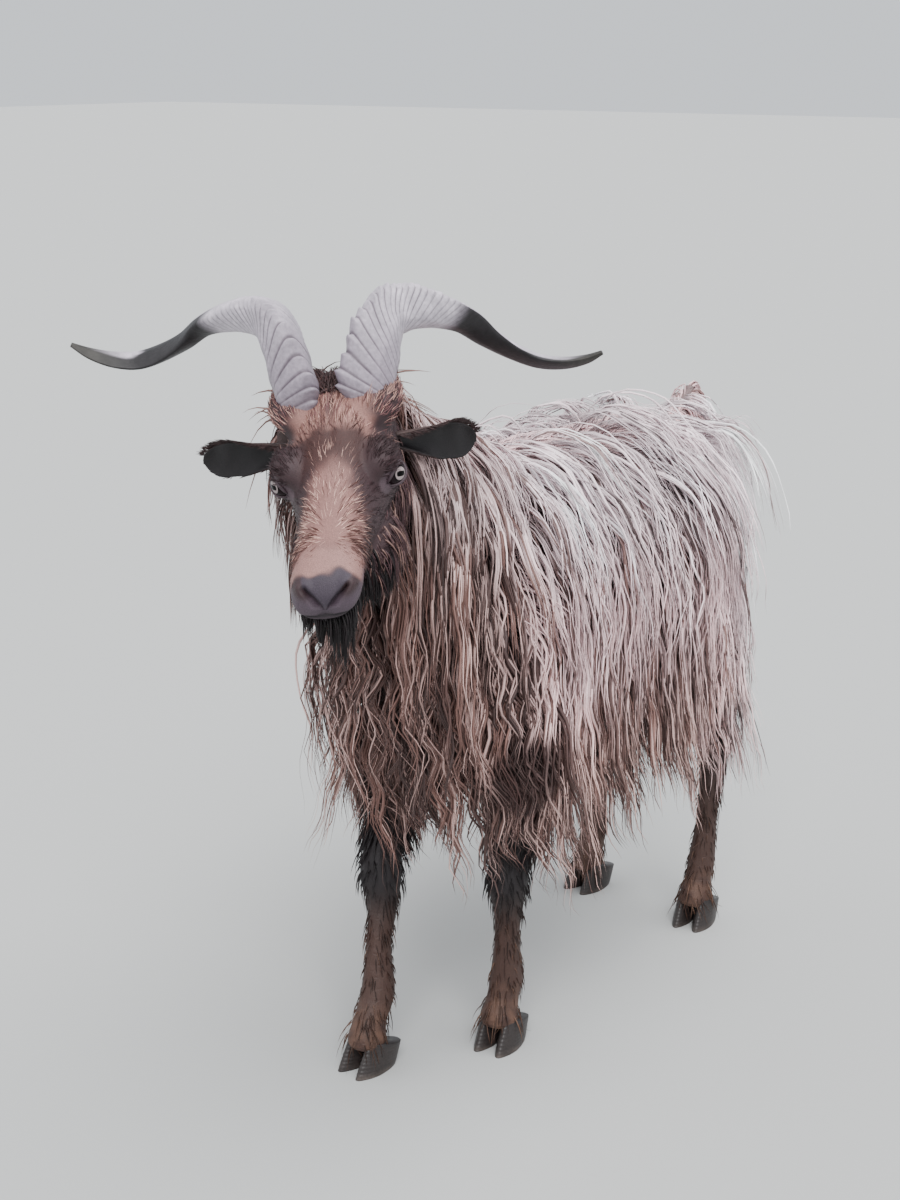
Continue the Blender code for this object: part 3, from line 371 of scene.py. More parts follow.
def from_head(points):
    """Places given as left, forward and dorsal of the forehead, in the goat's own frame."""
    return head_line(points) + FOREHEAD


def to_head(points):
    """The turn back: places in the goat's own frame as left, forward and dorsal."""
    return ((points - FOREHEAD) @ HEAD) * [1.0, -1.0, 1.0]


def step(low, high, value):
    """A smooth step from 0 at low to 1 at high: t * t * (3 - 2 t)."""
    t = np.clip((value - low) / (high - low), 0, 1)
    return t * t * (3 - 2 * t)


def skull():
    """Superellipse rings along the face, drawn in above and below, then swelled.

    From a point on the skull's axis each vertex looks out along its ray; where a ball of flesh
    reaches further than the ring, the two are run together by a soft maximum."""
    rows = [(s, 0.0, (a + b) / 2, (a - b) / 2, w, n, u, v) for s, a, b, w, n, u, v in FACE]
    rows = eased(rows, HEAD_RINGS, 5)
    turn = circle(HEAD_AROUND)[None, :]
    power = 2 / rows[:, 5:6]
    rise = signed_power(np.sin(turn), power)
    across = signed_power(np.cos(turn), power)
    across = across * np.where(rise > 0, 1 - rows[:, 6:7] * rise, 1 + rows[:, 7:8] * rise)
    grid = np.stack([rows[:, 4:5] * across, np.broadcast_to(rows[:, :1], across.shape),
                     rows[:, 2:3] + rows[:, 3:4] * rise], -1)
    back = np.minimum(rows[:, 0], FAN_FROM)
    heart = np.stack([np.zeros(HEAD_RINGS), back, np.interp(back, rows[:, 0], rows[:, 2])], -1)[:, None]
    ray = grid - heart
    reach = np.linalg.norm(ray, axis=-1)
    ray = ray / reach[..., None]
    for centre, radii in SWELLINGS:
        for side in ((1, -1) if centre[0] else (1,)):
            start = (heart - np.array(centre) * [side, 1, 1]) / np.array(radii)
            line = ray / np.array(radii)
            a = (line ** 2).sum(-1)
            b = (start * line).sum(-1)
            c = (start ** 2).sum(-1) - 1
            inside = b ** 2 - a * c
            exit_at = np.where(inside > 0, (-b + np.sqrt(np.maximum(inside, 0))) / a, 0)
            gap = exit_at - reach
            reach = reach + np.where(gap > -SOFT, np.maximum(gap, 0) * (gap > SOFT)
                                     + (np.abs(gap) <= SOFT) * (gap + SOFT) ** 2 / (4 * SOFT), 0)
    return heart + ray * reach[..., None]


def grid_normals(grid):
    """Outward normals of a grid of rings: the cross product of the differences both ways."""
    down = np.gradient(grid, axis=0)
    round_ = (np.roll(grid, -1, 1) - np.roll(grid, 1, 1)) / 2
    return unit(np.cross(round_, down))


def smoothed(grid, times):
    """Each inner point moves half way to the mean of its four neighbours, so many times."""
    for _ in range(times):
        mean = (np.roll(grid, 1, 1) + np.roll(grid, -1, 1)) / 4
        mean[1:-1] += (grid[:-2] + grid[2:]) / 4
        grid[1:-1] = (grid[1:-1] + mean[1:-1]) / 2
    return grid


def groove(points, start, end, width):
    """How near each point is to a straight line between two places: exp(-(gap / width) ** 2)."""
    start, end = np.array(start), np.array(end)
    line = end - start
    t = np.clip(((points - start) @ line) / (line @ line), 0, 1)
    gap = np.linalg.norm(points - (start + t[..., None] * line), axis=-1)
    return np.exp(-(gap / width) ** 2)


def chew(points):
    """How far the muzzle is set to the goat's right, as it chews: more so forward and below."""
    return step(0.09, 0.20, points[..., 1]) * (0.0035 + 0.16 * np.clip(-0.035 - points[..., 2], 0, 0.04))


def unchewed(points):
    """Places with the muzzle's set to one side undone."""
    return points + chew(points)[..., None] * [1.0, 0.0, 0.0]


def nostril(points, side, width):
    """How near each point is to a nostril's slit, which slopes in and down from the outer corner."""
    return groove(unchewed(points), (0.0205 * side, 0.2165, -0.0415), (0.0062 * side, 0.2250, -0.0590),
                  width)


def mouth_line(points):
    """How near each point of the muzzle is to the line between the lips, back to its corners."""
    forward, dorsal = points[..., 1], points[..., 2]
    drop = MOUTH_DROP - 0.006 * step(0.235, 0.150, forward)
    return np.exp(-((dorsal - drop) / 0.0017) ** 2) * step(0.140, 0.156, forward)


# The eye's own axes on the goat's left: straight out, towards its hind corner, and up across the slit.
EYE_OUT = unit(np.array([0.782, 0.575, 0.225]))
EYE_LONG = unit(np.array([0.493, -0.801, 0.338]))
EYE_LONG = unit(EYE_LONG - EYE_OUT * (EYE_LONG @ EYE_OUT))
EYE_RISE = np.cross(EYE_LONG, EYE_OUT)
EYE_RISE = EYE_RISE * np.sign(EYE_RISE[2])
SLIT_LONG, SLIT_HIGH, SLIT_SHAPE = 0.0132, 0.0083, 1.8


def from_eye(points, side):
    """Places measured from an eye's middle towards its hind corner, up across the slit and out."""
    offset = (points - EYE * [side, 1, 1]) * [side, 1, 1]
    return offset @ EYE_LONG, offset @ EYE_RISE, offset @ EYE_OUT


def opening(points, side):
    """How far inside the slit between the lids each point lies: 1 within, 0 outside.

    The slit is an almond on the eye: |along / half length| and |up / half height| to a power, summed."""
    along, up, outside = from_eye(points, side)
    almond = (np.abs(along) / SLIT_LONG) ** SLIT_SHAPE + (np.abs(up) / SLIT_HIGH) ** SLIT_SHAPE
    return step(1.25, 0.85, almond) * (outside > 0)


face_grid = smoothed(skull(), 6)
face_grid[..., 0] -= chew(face_grid)
face_normals = grid_normals(face_grid)
if (face_normals * (face_grid - face_grid.mean((0, 1)))).sum() < 0:
    face_normals = -face_normals
work = np.full(face_grid.shape[:2], -FACE_INSET)
work -= 0.0026 * mouth_line(face_grid)
for side in (1, -1):
    mirror = np.array([side, 1, 1])
    pit = nostril(face_grid, side, 0.0026)
    work -= 0.0080 * pit
    wing = groove(unchewed(face_grid), (0.0245 * side, 0.2120, -0.0440),
                  (0.0120 * side, 0.2230, -0.0620), 0.0034)
    work += 0.0016 * wing * (1 - pit)
    work -= 0.0055 * opening(face_grid, side)
    fold = groove(face_grid, EYE * mirror + [0, 0.020, -0.006], EYE * mirror + [0, 0.044, -0.020], 0.0035)
    work -= 0.0016 * fold
    lid_fold = groove(face_grid, EYE * mirror + [0.002 * side, -0.016, 0.0095],
                      EYE * mirror + [0, 0.014, 0.0120], 0.0022)
    work -= 0.0014 * lid_fold
    cheek = groove(face_grid, (0.050 * side, 0.078, -0.075), (0.040 * side, 0.135, -0.060), 0.010)
    work -= 0.0020 * cheek
work -= 0.0024 * groove(unchewed(face_grid), (0, 0.2255, -0.0600), (0, 0.2215, -0.0730), 0.0017)
work -= 0.0012 * groove(face_grid, (0, 0.000, 0.002), (0, 0.060, -0.006), 0.004)
face_grid = face_grid + face_normals * work[..., None]
head = closed_tube("head", from_head(face_grid))


# Markings: a pale coat over dark brown hide, a dark face with tan strokes up its middle, a pale
# band over the nose, a grey nose pad, and legs of brown and black.  Skin and hair share them.
PALE, LILAC = paint(255, 237, 242), paint(247, 211, 213)
BROWN, DARK, BLACK = paint(104, 75, 68), paint(54, 38, 37), paint(28, 23, 24)
FACE_DARK, PATCH_RED, POLL_BROWN = paint(54, 38, 41), paint(58, 33, 30), paint(72, 52, 50)
BRIDGE_TAN, CROWN_TAN, BAND_TAN = paint(128, 93, 87), paint(134, 97, 89), paint(138, 103, 97)
SNOUT_GREY, LIP_GREY, PAD_GREY, CHIN_GREY = (paint(92, 75, 82), paint(70, 59, 68), paint(56, 48, 57),
                                             paint(58, 48, 54))
# The nostril colour is painted shade inside the nostril openings.
LID_GREY, LID_RIM, NOSTRIL_SHADE = paint(84, 70, 76), paint(66, 50, 58), paint(20, 16, 19)
# The lip split and lip line colours are painted shade in the creases of the lips.
LIP_SPLIT_SHADE, LIP_LINE_SHADE, SHANK_BROWN = paint(40, 32, 36), paint(30, 24, 28), paint(60, 42, 36)
KNEE_BLACK, PASTERN_BROWN, THIGH_BROWN = paint(32, 27, 29), paint(92, 68, 56), paint(56, 42, 40)
HIDE_DARK, HIDE_PALE = paint(66, 50, 48), paint(112, 94, 94)


def mottle(points, size, seed):
    """A soft uneven value about 0, from -1 to 1: six sine waves of random heading, summed."""
    draw = np.random.default_rng(seed)
    waves = unit(draw.normal(size=(6, 3))) * (2 * np.pi / size) * draw.uniform(0.6, 1.6, (6, 1))
    return np.sin(points @ waves.T + draw.uniform(0, 2 * np.pi, 6)).sum(-1) / 3.2


def blend(under, over, share):
    """One colour laid over another by a share for each point."""
    return under + (over - under) * np.clip(share, 0, 1)[..., None]


def in_stroke(aside, forward):
    """How far within the tan stroke up the face a place lies; the stroke widens towards the nose."""
    return step(0.008, -0.008, aside - (0.016 + 0.018 * step(0.08, 0.16, forward)))


def face_tint(points):
    """Colours over the head, by place forward of the forehead, off the midline and below the brow."""
    left, forward, dorsal = np.moveaxis(unchewed(points), -1, 0)
    aside = np.abs(left)
    forward = forward + 0.004 * mottle(points, 0.03, 3)
    aside = aside + 0.003 * mottle(points, 0.025, 4)
    upper = step(-0.062, -0.030, dorsal) * in_stroke(aside, forward)
    tint = blend(FACE_DARK, BRIDGE_TAN, upper * step(0.060, 0.090, forward) * step(0.190, 0.165, forward))
    tint = blend(tint, CROWN_TAN, step(0.052, 0.040, forward) * step(0.046, 0.030, aside)
                 * step(-0.05, -0.02, dorsal))
    parting = step(0.005, 0.002, aside) * step(0.040, 0.020, forward)
    tint = blend(tint, DARK, parting * 0.8)
    tint = blend(tint, PATCH_RED, step(0.028, 0.050, forward + 0.004 * mottle(points, 0.012, 6))
                 * step(0.098, 0.066, forward) * step(0.040, 0.020, aside) * step(-0.05, -0.03, dorsal))
    tint = blend(tint, BAND_TAN, step(0.168, 0.182, forward) * step(0.206, 0.198, forward)
                 * step(-0.068, -0.050, dorsal))
    tint = blend(tint, SNOUT_GREY, step(0.172, 0.190, forward) * step(-0.050, -0.060, dorsal)
                 * step(-0.076, -0.070, dorsal) * 0.8)
    tint = blend(tint, LIP_GREY, step(0.196, 0.208, forward) * step(-0.046, -0.058, dorsal) * 0.9)
    tint = blend(tint, POLL_BROWN, step(-0.004, -0.018, forward))
    wedge = aside - 0.0190 * (1 - np.clip((-0.042 - dorsal) / 0.020, 0, 1)) - 0.003
    pad = step(0.199, 0.206, forward) * step(0.002, -0.002, wedge) * step(-0.068, -0.062, dorsal)
    tint = blend(tint, PAD_GREY, pad)
    return blend(tint, CHIN_GREY, step(-0.068, -0.074, dorsal) * step(0.150, 0.165, forward))


def eye_patch(points):
    """Bare lilac-grey skin around each eye, with a dark tear line from its front corner; painted shade
    in the nostrils, the cleft of the upper lip and the line between the lips.
    """
    tint = face_tint(points)
    for side in (1, -1):
        along, up, out = from_eye(points, side)
        almond = (np.abs(along + 0.002) / 0.0210) ** 2 + (np.abs(up) / 0.0150) ** 2
        tint = blend(tint, LID_GREY, step(1.25, 0.70, almond) * (out > 0) * 0.85)
        rim = (np.abs(along) / 0.0150) ** 2 + (np.abs(up) / 0.0098) ** 2
        tint = blend(tint, LID_RIM, step(1.2, 0.9, rim) * (out > 0) * 0.7)
        tear = groove(points * [side, 1, 1], EYE + EYE_OUT * 0.010 - EYE_LONG * 0.013,
                      EYE + np.array([-0.008, 0.036, -0.010]), 0.0032)
        tint = blend(tint, BLACK, tear * 0.8)
        # Painted shade in each nostril's opening.
        tint = blend(tint, NOSTRIL_SHADE, nostril(points, side, 0.0030) * 1.4)
    # Painted shade in the cleft of the upper lip.
    cleft_shade = groove(unchewed(points), (0, 0.227, -0.0600), (0, 0.222, -0.0730), 0.0018)
    tint = blend(tint, LIP_SPLIT_SHADE, cleft_shade)
    # Painted shade along the line between the lips.
    return blend(tint, LIP_LINE_SHADE, mouth_line(points) * 0.9)


def leg_tint(points):
    """Black knees and shins in front, brown behind and below, and grizzled pasterns."""
    high = points[..., 2]
    fore = points[..., 1] < 0
    tint = blend(SHANK_BROWN, KNEE_BLACK, step(0.15, 0.23, high) * np.where(fore, 1.0, 0.35))
    tint = blend(tint, PASTERN_BROWN, step(0.10, 0.05, high) * (0.4 + 0.5 * mottle(points, 0.02, 8)))
    return blend(tint, THIGH_BROWN, step(0.30, 0.38, high))


def hide_tint(points):
    """Dark brown hide, lighter along the back and rump, and the legs' own colours below."""
    high = points[..., 2]
    tint = blend(leg_tint(points), HIDE_DARK, step(0.34, 0.42, high))
    return blend(tint, HIDE_PALE, step(0.60, 0.70, high) * step(-0.30, -0.16, points[..., 1]))


GRAIN_HEIGHT = 0.001           # how deep the grain of a surface is felt in the light
body_points, body_triangles = read_points(body)
head_points, head_triangles = read_points(head)
skin_tints = np.concatenate([hide_tint(body_points), eye_patch(to_head(head_points))])


def uneven(tree, colour, place, scale, detail, seen, given):
    """Feeds the shader with a colour multiplied by noise, and returns the noise.

    The noise is read at a place, and its values, seen from low to high, are spread over those given."""
    noise = tree.nodes.new("ShaderNodeTexNoise")
    noise.inputs["Scale"].default_value = scale
    noise.inputs["Detail"].default_value = detail
    spread = tree.nodes.new("ShaderNodeMapRange")
    for socket, value in zip(("From Min", "From Max", "To Min", "To Max"), (*seen, *given)):
        spread.inputs[socket].default_value = value
    mix = tree.nodes.new("ShaderNodeVectorMath")
    mix.operation = "MULTIPLY"
    shader = tree.nodes["Principled BSDF"]
    for source, target in (
        (place, noise.inputs["Vector"]),
        (noise.outputs["Fac"], spread.inputs["Value"]),
        (colour, mix.inputs[0]),
        (spread.outputs["Result"], mix.inputs[1]),
        (mix.outputs["Vector"], shader.inputs["Base Color"]),
    ):
        tree.links.new(source, target)
    return noise.outputs["Fac"]


def finish_paint(name, roughness, grain, depth, shade=0.25, specular=0.4):
    """A material that takes its colour from the tint, varied by fine noise, with a bump of that grain."""
    made = bpy.data.materials.new(name)
    made.use_nodes = True
    tree = made.node_tree
    shader = tree.nodes["Principled BSDF"]
    shader.inputs["Roughness"].default_value = roughness
    shader.inputs["Specular IOR Level"].default_value = specular
    tint = tree.nodes.new("ShaderNodeAttribute")
    tint.attribute_name = "tint"
    place = tree.nodes.new("ShaderNodeTexCoord")
    noise = uneven(tree, tint.outputs["Color"], place.outputs["Object"], grain, 4, (0.3, 0.7),
                   (1 - shade, 1 + shade))
    bump = tree.nodes.new("ShaderNodeBump")
    bump.inputs["Strength"].default_value = depth
    bump.inputs["Distance"].default_value = GRAIN_HEIGHT
    tree.links.new(noise, bump.inputs["Height"])
    tree.links.new(bump.outputs["Normal"], shader.inputs["Normal"])
    return made


def settled(obj, tints, material, slot, *nodes):
    """Moves a finished mesh to the stance, paints it, and lets it ride on the goat's one body.

    The tints are a colour for each point, stored with full alpha."""
    obj.data.transform(Matrix.Translation(MIDDLE))
    layer = obj.data.color_attributes.new("tint", "FLOAT_COLOR", "POINT")
    layer.data.foreach_set("color", np.concatenate([tints, np.ones((len(tints), 1))], 1)
                           .astype(np.float32).ravel())
    obj.data.materials.clear()
    obj.data.materials.append(material)
    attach(obj, "root")
    if nodes:
        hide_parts(*nodes)


settled(merged("skin", [body, head]), skin_tints, finish_paint("short_hair", 0.62, 900, 0.5), "face",
        "torso", "neck", "head", "tail", "foreleg_left", "foreleg_right", "hindleg_left", "hindleg_right")


# Eyes: glassy balls with a pale lilac-grey iris, a dark rim and a level black bar of a pupil, set
# under two soft grey lids whose edges follow the almond of the slit.
IRIS, IRIS_RIM, RIM_FADE = 0.0068, 0.0082, 0.0008
PUPIL_LONG, PUPIL_HIGH = 0.0050, 0.0025
EYE_ROWS, EYE_AROUND, LID_STEPS, LID_AROUND = 60, 72, 120, 14
LID_REACH, LID_GAP = 1.06, 0.0006    # how far the lids' edge lies past the slit, and off the ball
BALL_DARK, IRIS_EDGE, IRIS_GREY = paint(34, 25, 28), paint(16, 12, 14), paint(158, 146, 146)
IRIS_STREAK, PUPIL_BLACK, EYELID = paint(120, 104, 104), paint(8, 7, 9), paint(64, 50, 56)
LID_CORNER = paint(40, 30, 34)


def eyeball(rows, around):
    """A ball about the eye's outward axis, its rows drawn close together in front.

    The angle from the axis is pi * t ** 1.6; a point is the centre plus the radius times
    out * cos(angle) + (long * cos(turn) + rise * sin(turn)) * sin(angle)."""
    angle = (np.pi * np.linspace(0.004, 0.998, rows) ** 1.6)[:, None, None]
    turn = circle(around)[None, :, None]
    return EYE_OUT * np.cos(angle) + (EYE_LONG * np.cos(turn) + EYE_RISE * np.sin(turn)) * np.sin(angle)


SIDES = ((1, "left"), (-1, "right"))
eye_gloss = finish_paint("eye", 0.10, 1500, 0.0, shade=0.12, specular=0.07)
lid_skin = finish_paint("lid", 0.45, 1600, 0.5, shade=0.15)
for side, name in SIDES:
    mirror = np.array([side, 1, 1])
    rays = eyeball(EYE_ROWS, EYE_AROUND) * mirror
    out = EYE_OUT * mirror
    level = unit(np.cross(HEAD[2] * [1, -1, 1], out))
    rise = np.cross(out, level)
    eye = closed_tube(f"eye_{name}_ball", from_head(EYE * mirror + rays * EYE_RADIUS))
    flat = with_poles(rays) * EYE_RADIUS
    aside, up, front = flat @ level, flat @ rise, flat @ out
    far = np.hypot(aside, up)
    rim = step(IRIS_RIM, IRIS_RIM - RIM_FADE, far) * (front > 0)
    tint = blend(BALL_DARK, IRIS_EDGE, rim)
    iris = step(IRIS, IRIS - RIM_FADE, far) * (front > 0)
    streaks = 0.5 + 0.5 * np.sin(np.arctan2(up, aside) * 46 + 2 * np.sin(far * 3000))
    tint = blend(tint, IRIS_GREY, iris)
    tint = blend(tint, IRIS_STREAK, iris * streaks * 0.5)
    bar = (np.abs(aside) / PUPIL_LONG) ** 4 + (np.abs(up) / PUPIL_HIGH) ** 4
    tint = blend(tint, PUPIL_BLACK, step(1.6, 0.7, bar) * (front > 0))
    settled(eye, tint, eye_gloss, "eye", f"eye_{name}")
    turn = circle(LID_STEPS)
    along = SLIT_LONG * LID_REACH * signed_power(np.cos(turn), 2 / SLIT_SHAPE)
    up = SLIT_HIGH * LID_REACH * signed_power(np.sin(turn), 2 / SLIT_SHAPE)
    out_by = np.sqrt(np.maximum((EYE_RADIUS + LID_GAP) ** 2 - along ** 2 - up ** 2, 1e-9))
    edge = along[:, None] * EYE_LONG + up[:, None] * EYE_RISE + out_by[:, None] * EYE_OUT
    edge_out = unit(edge)
    edge_along = unit(np.roll(edge, -1, 0) - np.roll(edge, 1, 0))
    edge_side = np.cross(edge_along, edge_out)
    thick = (np.where(up > 0, 0.0019, 0.0015) * (0.7 + 0.3 * np.abs(np.sin(turn))))[:, None, None]
    spin = circle(LID_AROUND)[None, :, None]
    ring = edge_out[:, None] * np.cos(spin) + edge_side[:, None] * np.sin(spin)
    lid_points = from_head((EYE + (edge[:, None] + thick * ring).reshape(-1, 3)) * mirror)
    lid = piece(f"lid_{name}", lid_points, ring_quads(LID_STEPS, LID_AROUND, closed=True))
    corner = np.repeat(np.abs(np.cos(turn)) ** 6, LID_AROUND)
    settled(lid, blend(EYELID, LID_CORNER, corner), lid_skin, "eye")


# Horns: each a keeled sheath of grey-lilac horn that rises, rolls over and sweeps out level to a
# fine tip.  Growth rings cross it aslant with painted shade in their grooves, the keel is notched,
# and the outer blade is painted dark as shade where it faces down and forward.
HORN_SEAT = turned("z", HEAD_TURN) @ turned("y", math.radians(-4))
HORN = (                       # left, back, up, half depth keel to rear, half thickness, keel's turn
    (0.027, 0.012, -0.030, 0.0120, 0.0100, 0),
    (0.031, 0.012, -0.006, 0.0290, 0.0205, 4),
    (0.038, 0.020, 0.025, 0.0315, 0.0215, 12),
    (0.046, 0.035, 0.050, 0.0310, 0.0210, 30),
    (0.057, 0.055, 0.067, 0.0290, 0.0205, 60),
    (0.079, 0.080, 0.070, 0.0255, 0.0190, 95),
    (0.105, 0.105, 0.064, 0.0215, 0.0155, 125),
    (0.133, 0.125, 0.052, 0.0200, 0.0115, 150),
    (0.156, 0.135, 0.034, 0.0205, 0.0095, 175),
    (0.182, 0.140, 0.019, 0.0205, 0.0085, 192),
    (0.207, 0.140, 0.010, 0.0190, 0.0075, 200),
    (0.232, 0.135, 0.010, 0.0155, 0.0065, 205),
    (0.255, 0.130, 0.016, 0.0100, 0.0050, 208),
    (0.272, 0.125, 0.025, 0.0030, 0.0025, 210),
)
HORN_TWIST, HORN_ANNULI, GROWTH_RINGS = 0.62, 12, 50
# The two horns aren't alike: how far the tip is lifted, and where the keel faces at the base.
HORN_SET = {"left": (-0.023, 62), "right": (0.023, 36)}
HORN_RINGS, HORN_AROUND = 420, 72
# The groove colour is painted shade in the grooves between growth rings.
HORN_BASE, HORN_GREY, GROOVE_SHADE = paint(140, 130, 141), paint(184, 176, 186), paint(62, 50, 58)
# The blade colour is painted shade on the down-facing outer blade.
BLADE_SHADE, TIP_GREY, SEAT_GREY = paint(13, 12, 11), paint(52, 50, 47), paint(120, 104, 108)


def about(axis, angle, vector):
    """A vector turned about an axis: v cos + (axis x v) sin + axis (axis . v) (1 - cos)."""
    return (vector * math.cos(angle) + np.cross(axis, vector) * math.sin(angle)
            + axis * (axis @ vector) * (1 - math.cos(angle)))


def horn(side, lift, base_turn):
    """Rings of one horn: its keel is carried along the path without twist, then turned by its share.

    A ring is keel * depth * cos + side * width * sin, thinner towards the keel, swelled by growth
    rings, notched along the keel and scored by fine lines that run aslant."""
    rows = eased(HORN, HORN_RINGS)
    far = ((rows[:, 0] - HORN[0][0]) / (HORN[-1][0] - HORN[0][0])) ** 1.5
    places = (rows[:, :3] * [side, 1, 1] + np.outer(lift * far, [0, 0, 1])) @ HORN_SEAT.T + FOREHEAD
    along = unit(np.gradient(places, axis=0))
    base = math.radians(base_turn)
    keel = HORN_SEAT @ np.array([-math.sin(base) * side, -math.cos(base), 0.0])
    keels = np.empty_like(places)
    for k in range(HORN_RINGS):
        twist = math.radians(rows[k, 5] - rows[max(k - 1, 0), 5]) * HORN_TWIST
        keel = about(along[k], twist * side, keel - along[k] * (along[k] @ keel))
        keel = keels[k] = unit(keel - along[k] * (along[k] @ keel))
    across = np.cross(along, keels)
    even = np.linspace(0, 1, HORN_RINGS)
    aslant = even[:, None]
    turn = circle(HORN_AROUND)[None, :]
    ahead = np.cos(turn)
    sharp = np.maximum(ahead, 0)
    lean = (0.085 * ahead - 0.012 * np.sin(turn)) * step(0, 0.20, aslant)
    share = (aslant + lean) / (1 + lean)

    def at(values):
        """Values given along the horn, read where each point of the slanted rings lies."""
        return np.stack([np.interp(share, even, line) for line in values.T], -1)

    swell = 0.035 * np.maximum(0, 1 - share * 1.7) * np.cos(aslant * HORN_ANNULI * 2 * np.pi)
    ring = (aslant * GROWTH_RINGS + 0.6 * np.sin(aslant * 23)) % 1.0 * np.ones_like(share)
    saw = ring ** 1.4 * step(1.0, 0.86, ring)
    worn = np.maximum(0, 1 - share * 1.5)
    fine = 0.050 * worn * (saw - 0.4)
    fine = fine + 0.010 * np.sin(turn * 9 + 14 * share) * np.sin(aslant * 41) * (1 - share)
    notch = 0.20 * sharp ** 4 * (saw - 0.4) * step(0.62, 0.35, share)
    depth = at(rows[:, 3:4]) * (ahead * (1 + swell * (1 + 2 * sharp) + fine + notch))[..., None]
    width = at(rows[:, 4:5]) * (np.sin(turn) * (1 - 0.40 * sharp) * (1 + swell + fine))[..., None]
    grid = at(places) + at(keels) * depth + at(across) * width
    return grid, share, ahead, ring, worn


horn_grids = {}
horn_sheath = finish_paint("horn", 0.48, 260, 0.35, shade=0.16, specular=0.3)
for side, name in SIDES:
    grid, share, ahead, ring, worn = horn(side, *HORN_SET[name])
    horn_grids[name] = grid
    sheath = closed_tube(f"horn_{name}_sheath", grid)
    normals = grid_normals(grid)
    normals = normals * np.sign((normals * (grid - grid.mean(1, keepdims=True))).sum())
    tint = blend(HORN_BASE, HORN_GREY, step(0.08, 0.40, share))
    # Painted shade in the groove after each growth ring, fading towards the tip where the rings wear
    # smooth, stronger on the keel side.
    ring_groove_shade = step(0.30, 0.04, ring) * np.minimum(1, worn * 2) * (0.55 + 0.30 * (ahead > 0.2))
    tint = blend(tint, GROOVE_SHADE, ring_groove_shade)
    # Painted shade: the outer blade is darkened where its surface faces down and forward, with a mottled
    # edge.
    below = -normals[..., 2] * 0.6 - normals[..., 1] * 0.8 + 0.25 * mottle(grid, 0.05, 14)
    tint = blend(tint, BLADE_SHADE, step(-0.50, -0.24, below) * step(0.50, 0.57, share) * 0.97)
    tint = blend(tint, TIP_GREY, step(0.82, 0.97, share))
    tint = blend(tint, SEAT_GREY, step(0.10, 0.0, share) * 0.5)
    tint = tint * (1 + 0.12 * mottle(grid, 0.02, 12))[..., None]
    settled(sheath, with_poles(tint), horn_sheath, "horn", f"horn_{name}")


# Ears: cupped leaves of gristle and skin, rolled at the root and opening forward, black within and
# furred brown behind.  Each has its own sweep back and droop, in degrees.
EARS = {"left": (36, 9), "right": (18, 4)}
EAR_ROOT = np.array([0.046, -0.002, -0.064])
EAR_WIDTH, EAR_LENGTH = 0.042, 0.108
EAR_ROWS, EAR_HALF = 70, 24    # rows from root to tip, and points across the outer or the inner skin
EAR_BLACK, EAR_BROWN = paint(20, 15, 18), paint(60, 44, 42)


def ear(side, sweep, droop):
    """An ear as an arc of two skins: outward * length * t, bent on a circle that opens with t.

    The width grows and then closes to the tip as (1 - t ** 5) ** 0.55; the outer skin's arc is
    run one way and the inner skin's the other, to make a closed ring."""
    sweep, droop = math.radians(sweep), math.radians(droop)
    level = turned("z", HEAD_TURN) @ turned("y", math.radians(-5))
    outward = level @ np.array([math.cos(sweep) * math.cos(droop) * side, math.sin(sweep),
                                -math.sin(droop)])
    upward = level @ np.array([0, -0.35, 1.0])
    upward = unit(upward - outward * (upward @ outward))
    behind = unit(np.cross(upward, outward)) * side
    root = from_head(EAR_ROOT * [side, 1, 1])
    t = np.linspace(0, 1, EAR_ROWS)[:, None]
    width = np.maximum(EAR_WIDTH * (0.62 + 1.1 * t - 0.55 * t ** 2) * (1 - t ** 5) ** 0.55, 0.004)
    curl = np.radians(120 - 88 * np.minimum(1.0, t * 1.5))
    bend = width / (2 * curl)
    thick = 0.0040 - 0.0024 * t
    half = np.linspace(-1, 1, EAR_HALF)
    beside = np.concatenate([half, half[::-1]])[None, :]
    lay = bend + thick / 2 * np.concatenate([np.ones(EAR_HALF), -np.ones(EAR_HALF)])[None, :]
    turn = curl * beside
    middle = root + outward * (EAR_LENGTH * t) + upward * (-0.008 * t ** 2)
    wave = 0.0012 * np.sin(t * 23 + 2 * beside) * t
    return (middle[:, None] + upward * (lay * np.sin(turn))[..., None]
            + behind * (lay * np.cos(turn) - bend + wave)[..., None])


ear_skin = finish_paint("ear", 0.6, 700, 0.5)
ear_grids = {}
for side, name in SIDES:
    grid = ear_grids[name] = ear(side, *EARS[name])
    leaf = closed_tube(f"ear_{name}_leaf", grid)
    outer = np.arange(2 * EAR_HALF)[None, :] < EAR_HALF
    tint = blend(EAR_BLACK, EAR_BROWN, outer)
    tint = tint * (1 + 0.2 * mottle(grid, 0.012, 21))[..., None]
    settled(leaf, with_poles(tint), ear_skin, "ear", f"ear_{name}")


# Hooves: two claws of dark horn to each foot, flat below, sloped back from the toe, ridged level
# round the wall and parted by the cleft.
CLAW_LENGTH, CLAW_WIDTH, CLEFT = 0.064, 0.0265, 0.0030
CROWN_LENGTH, CROWN_BACK, CROWN_HEIGHT, CROWN_SLOPE = 0.052, 0.012, 0.033, 0.27
FOOT_TURN = math.radians(6)
CLAW_ROWS, CLAW_AROUND = 32, 48
CLAW_GREY, CLAW_WORN, CLAW_CROWN = paint(46, 41, 40), paint(74, 66, 62), paint(40, 36, 36)


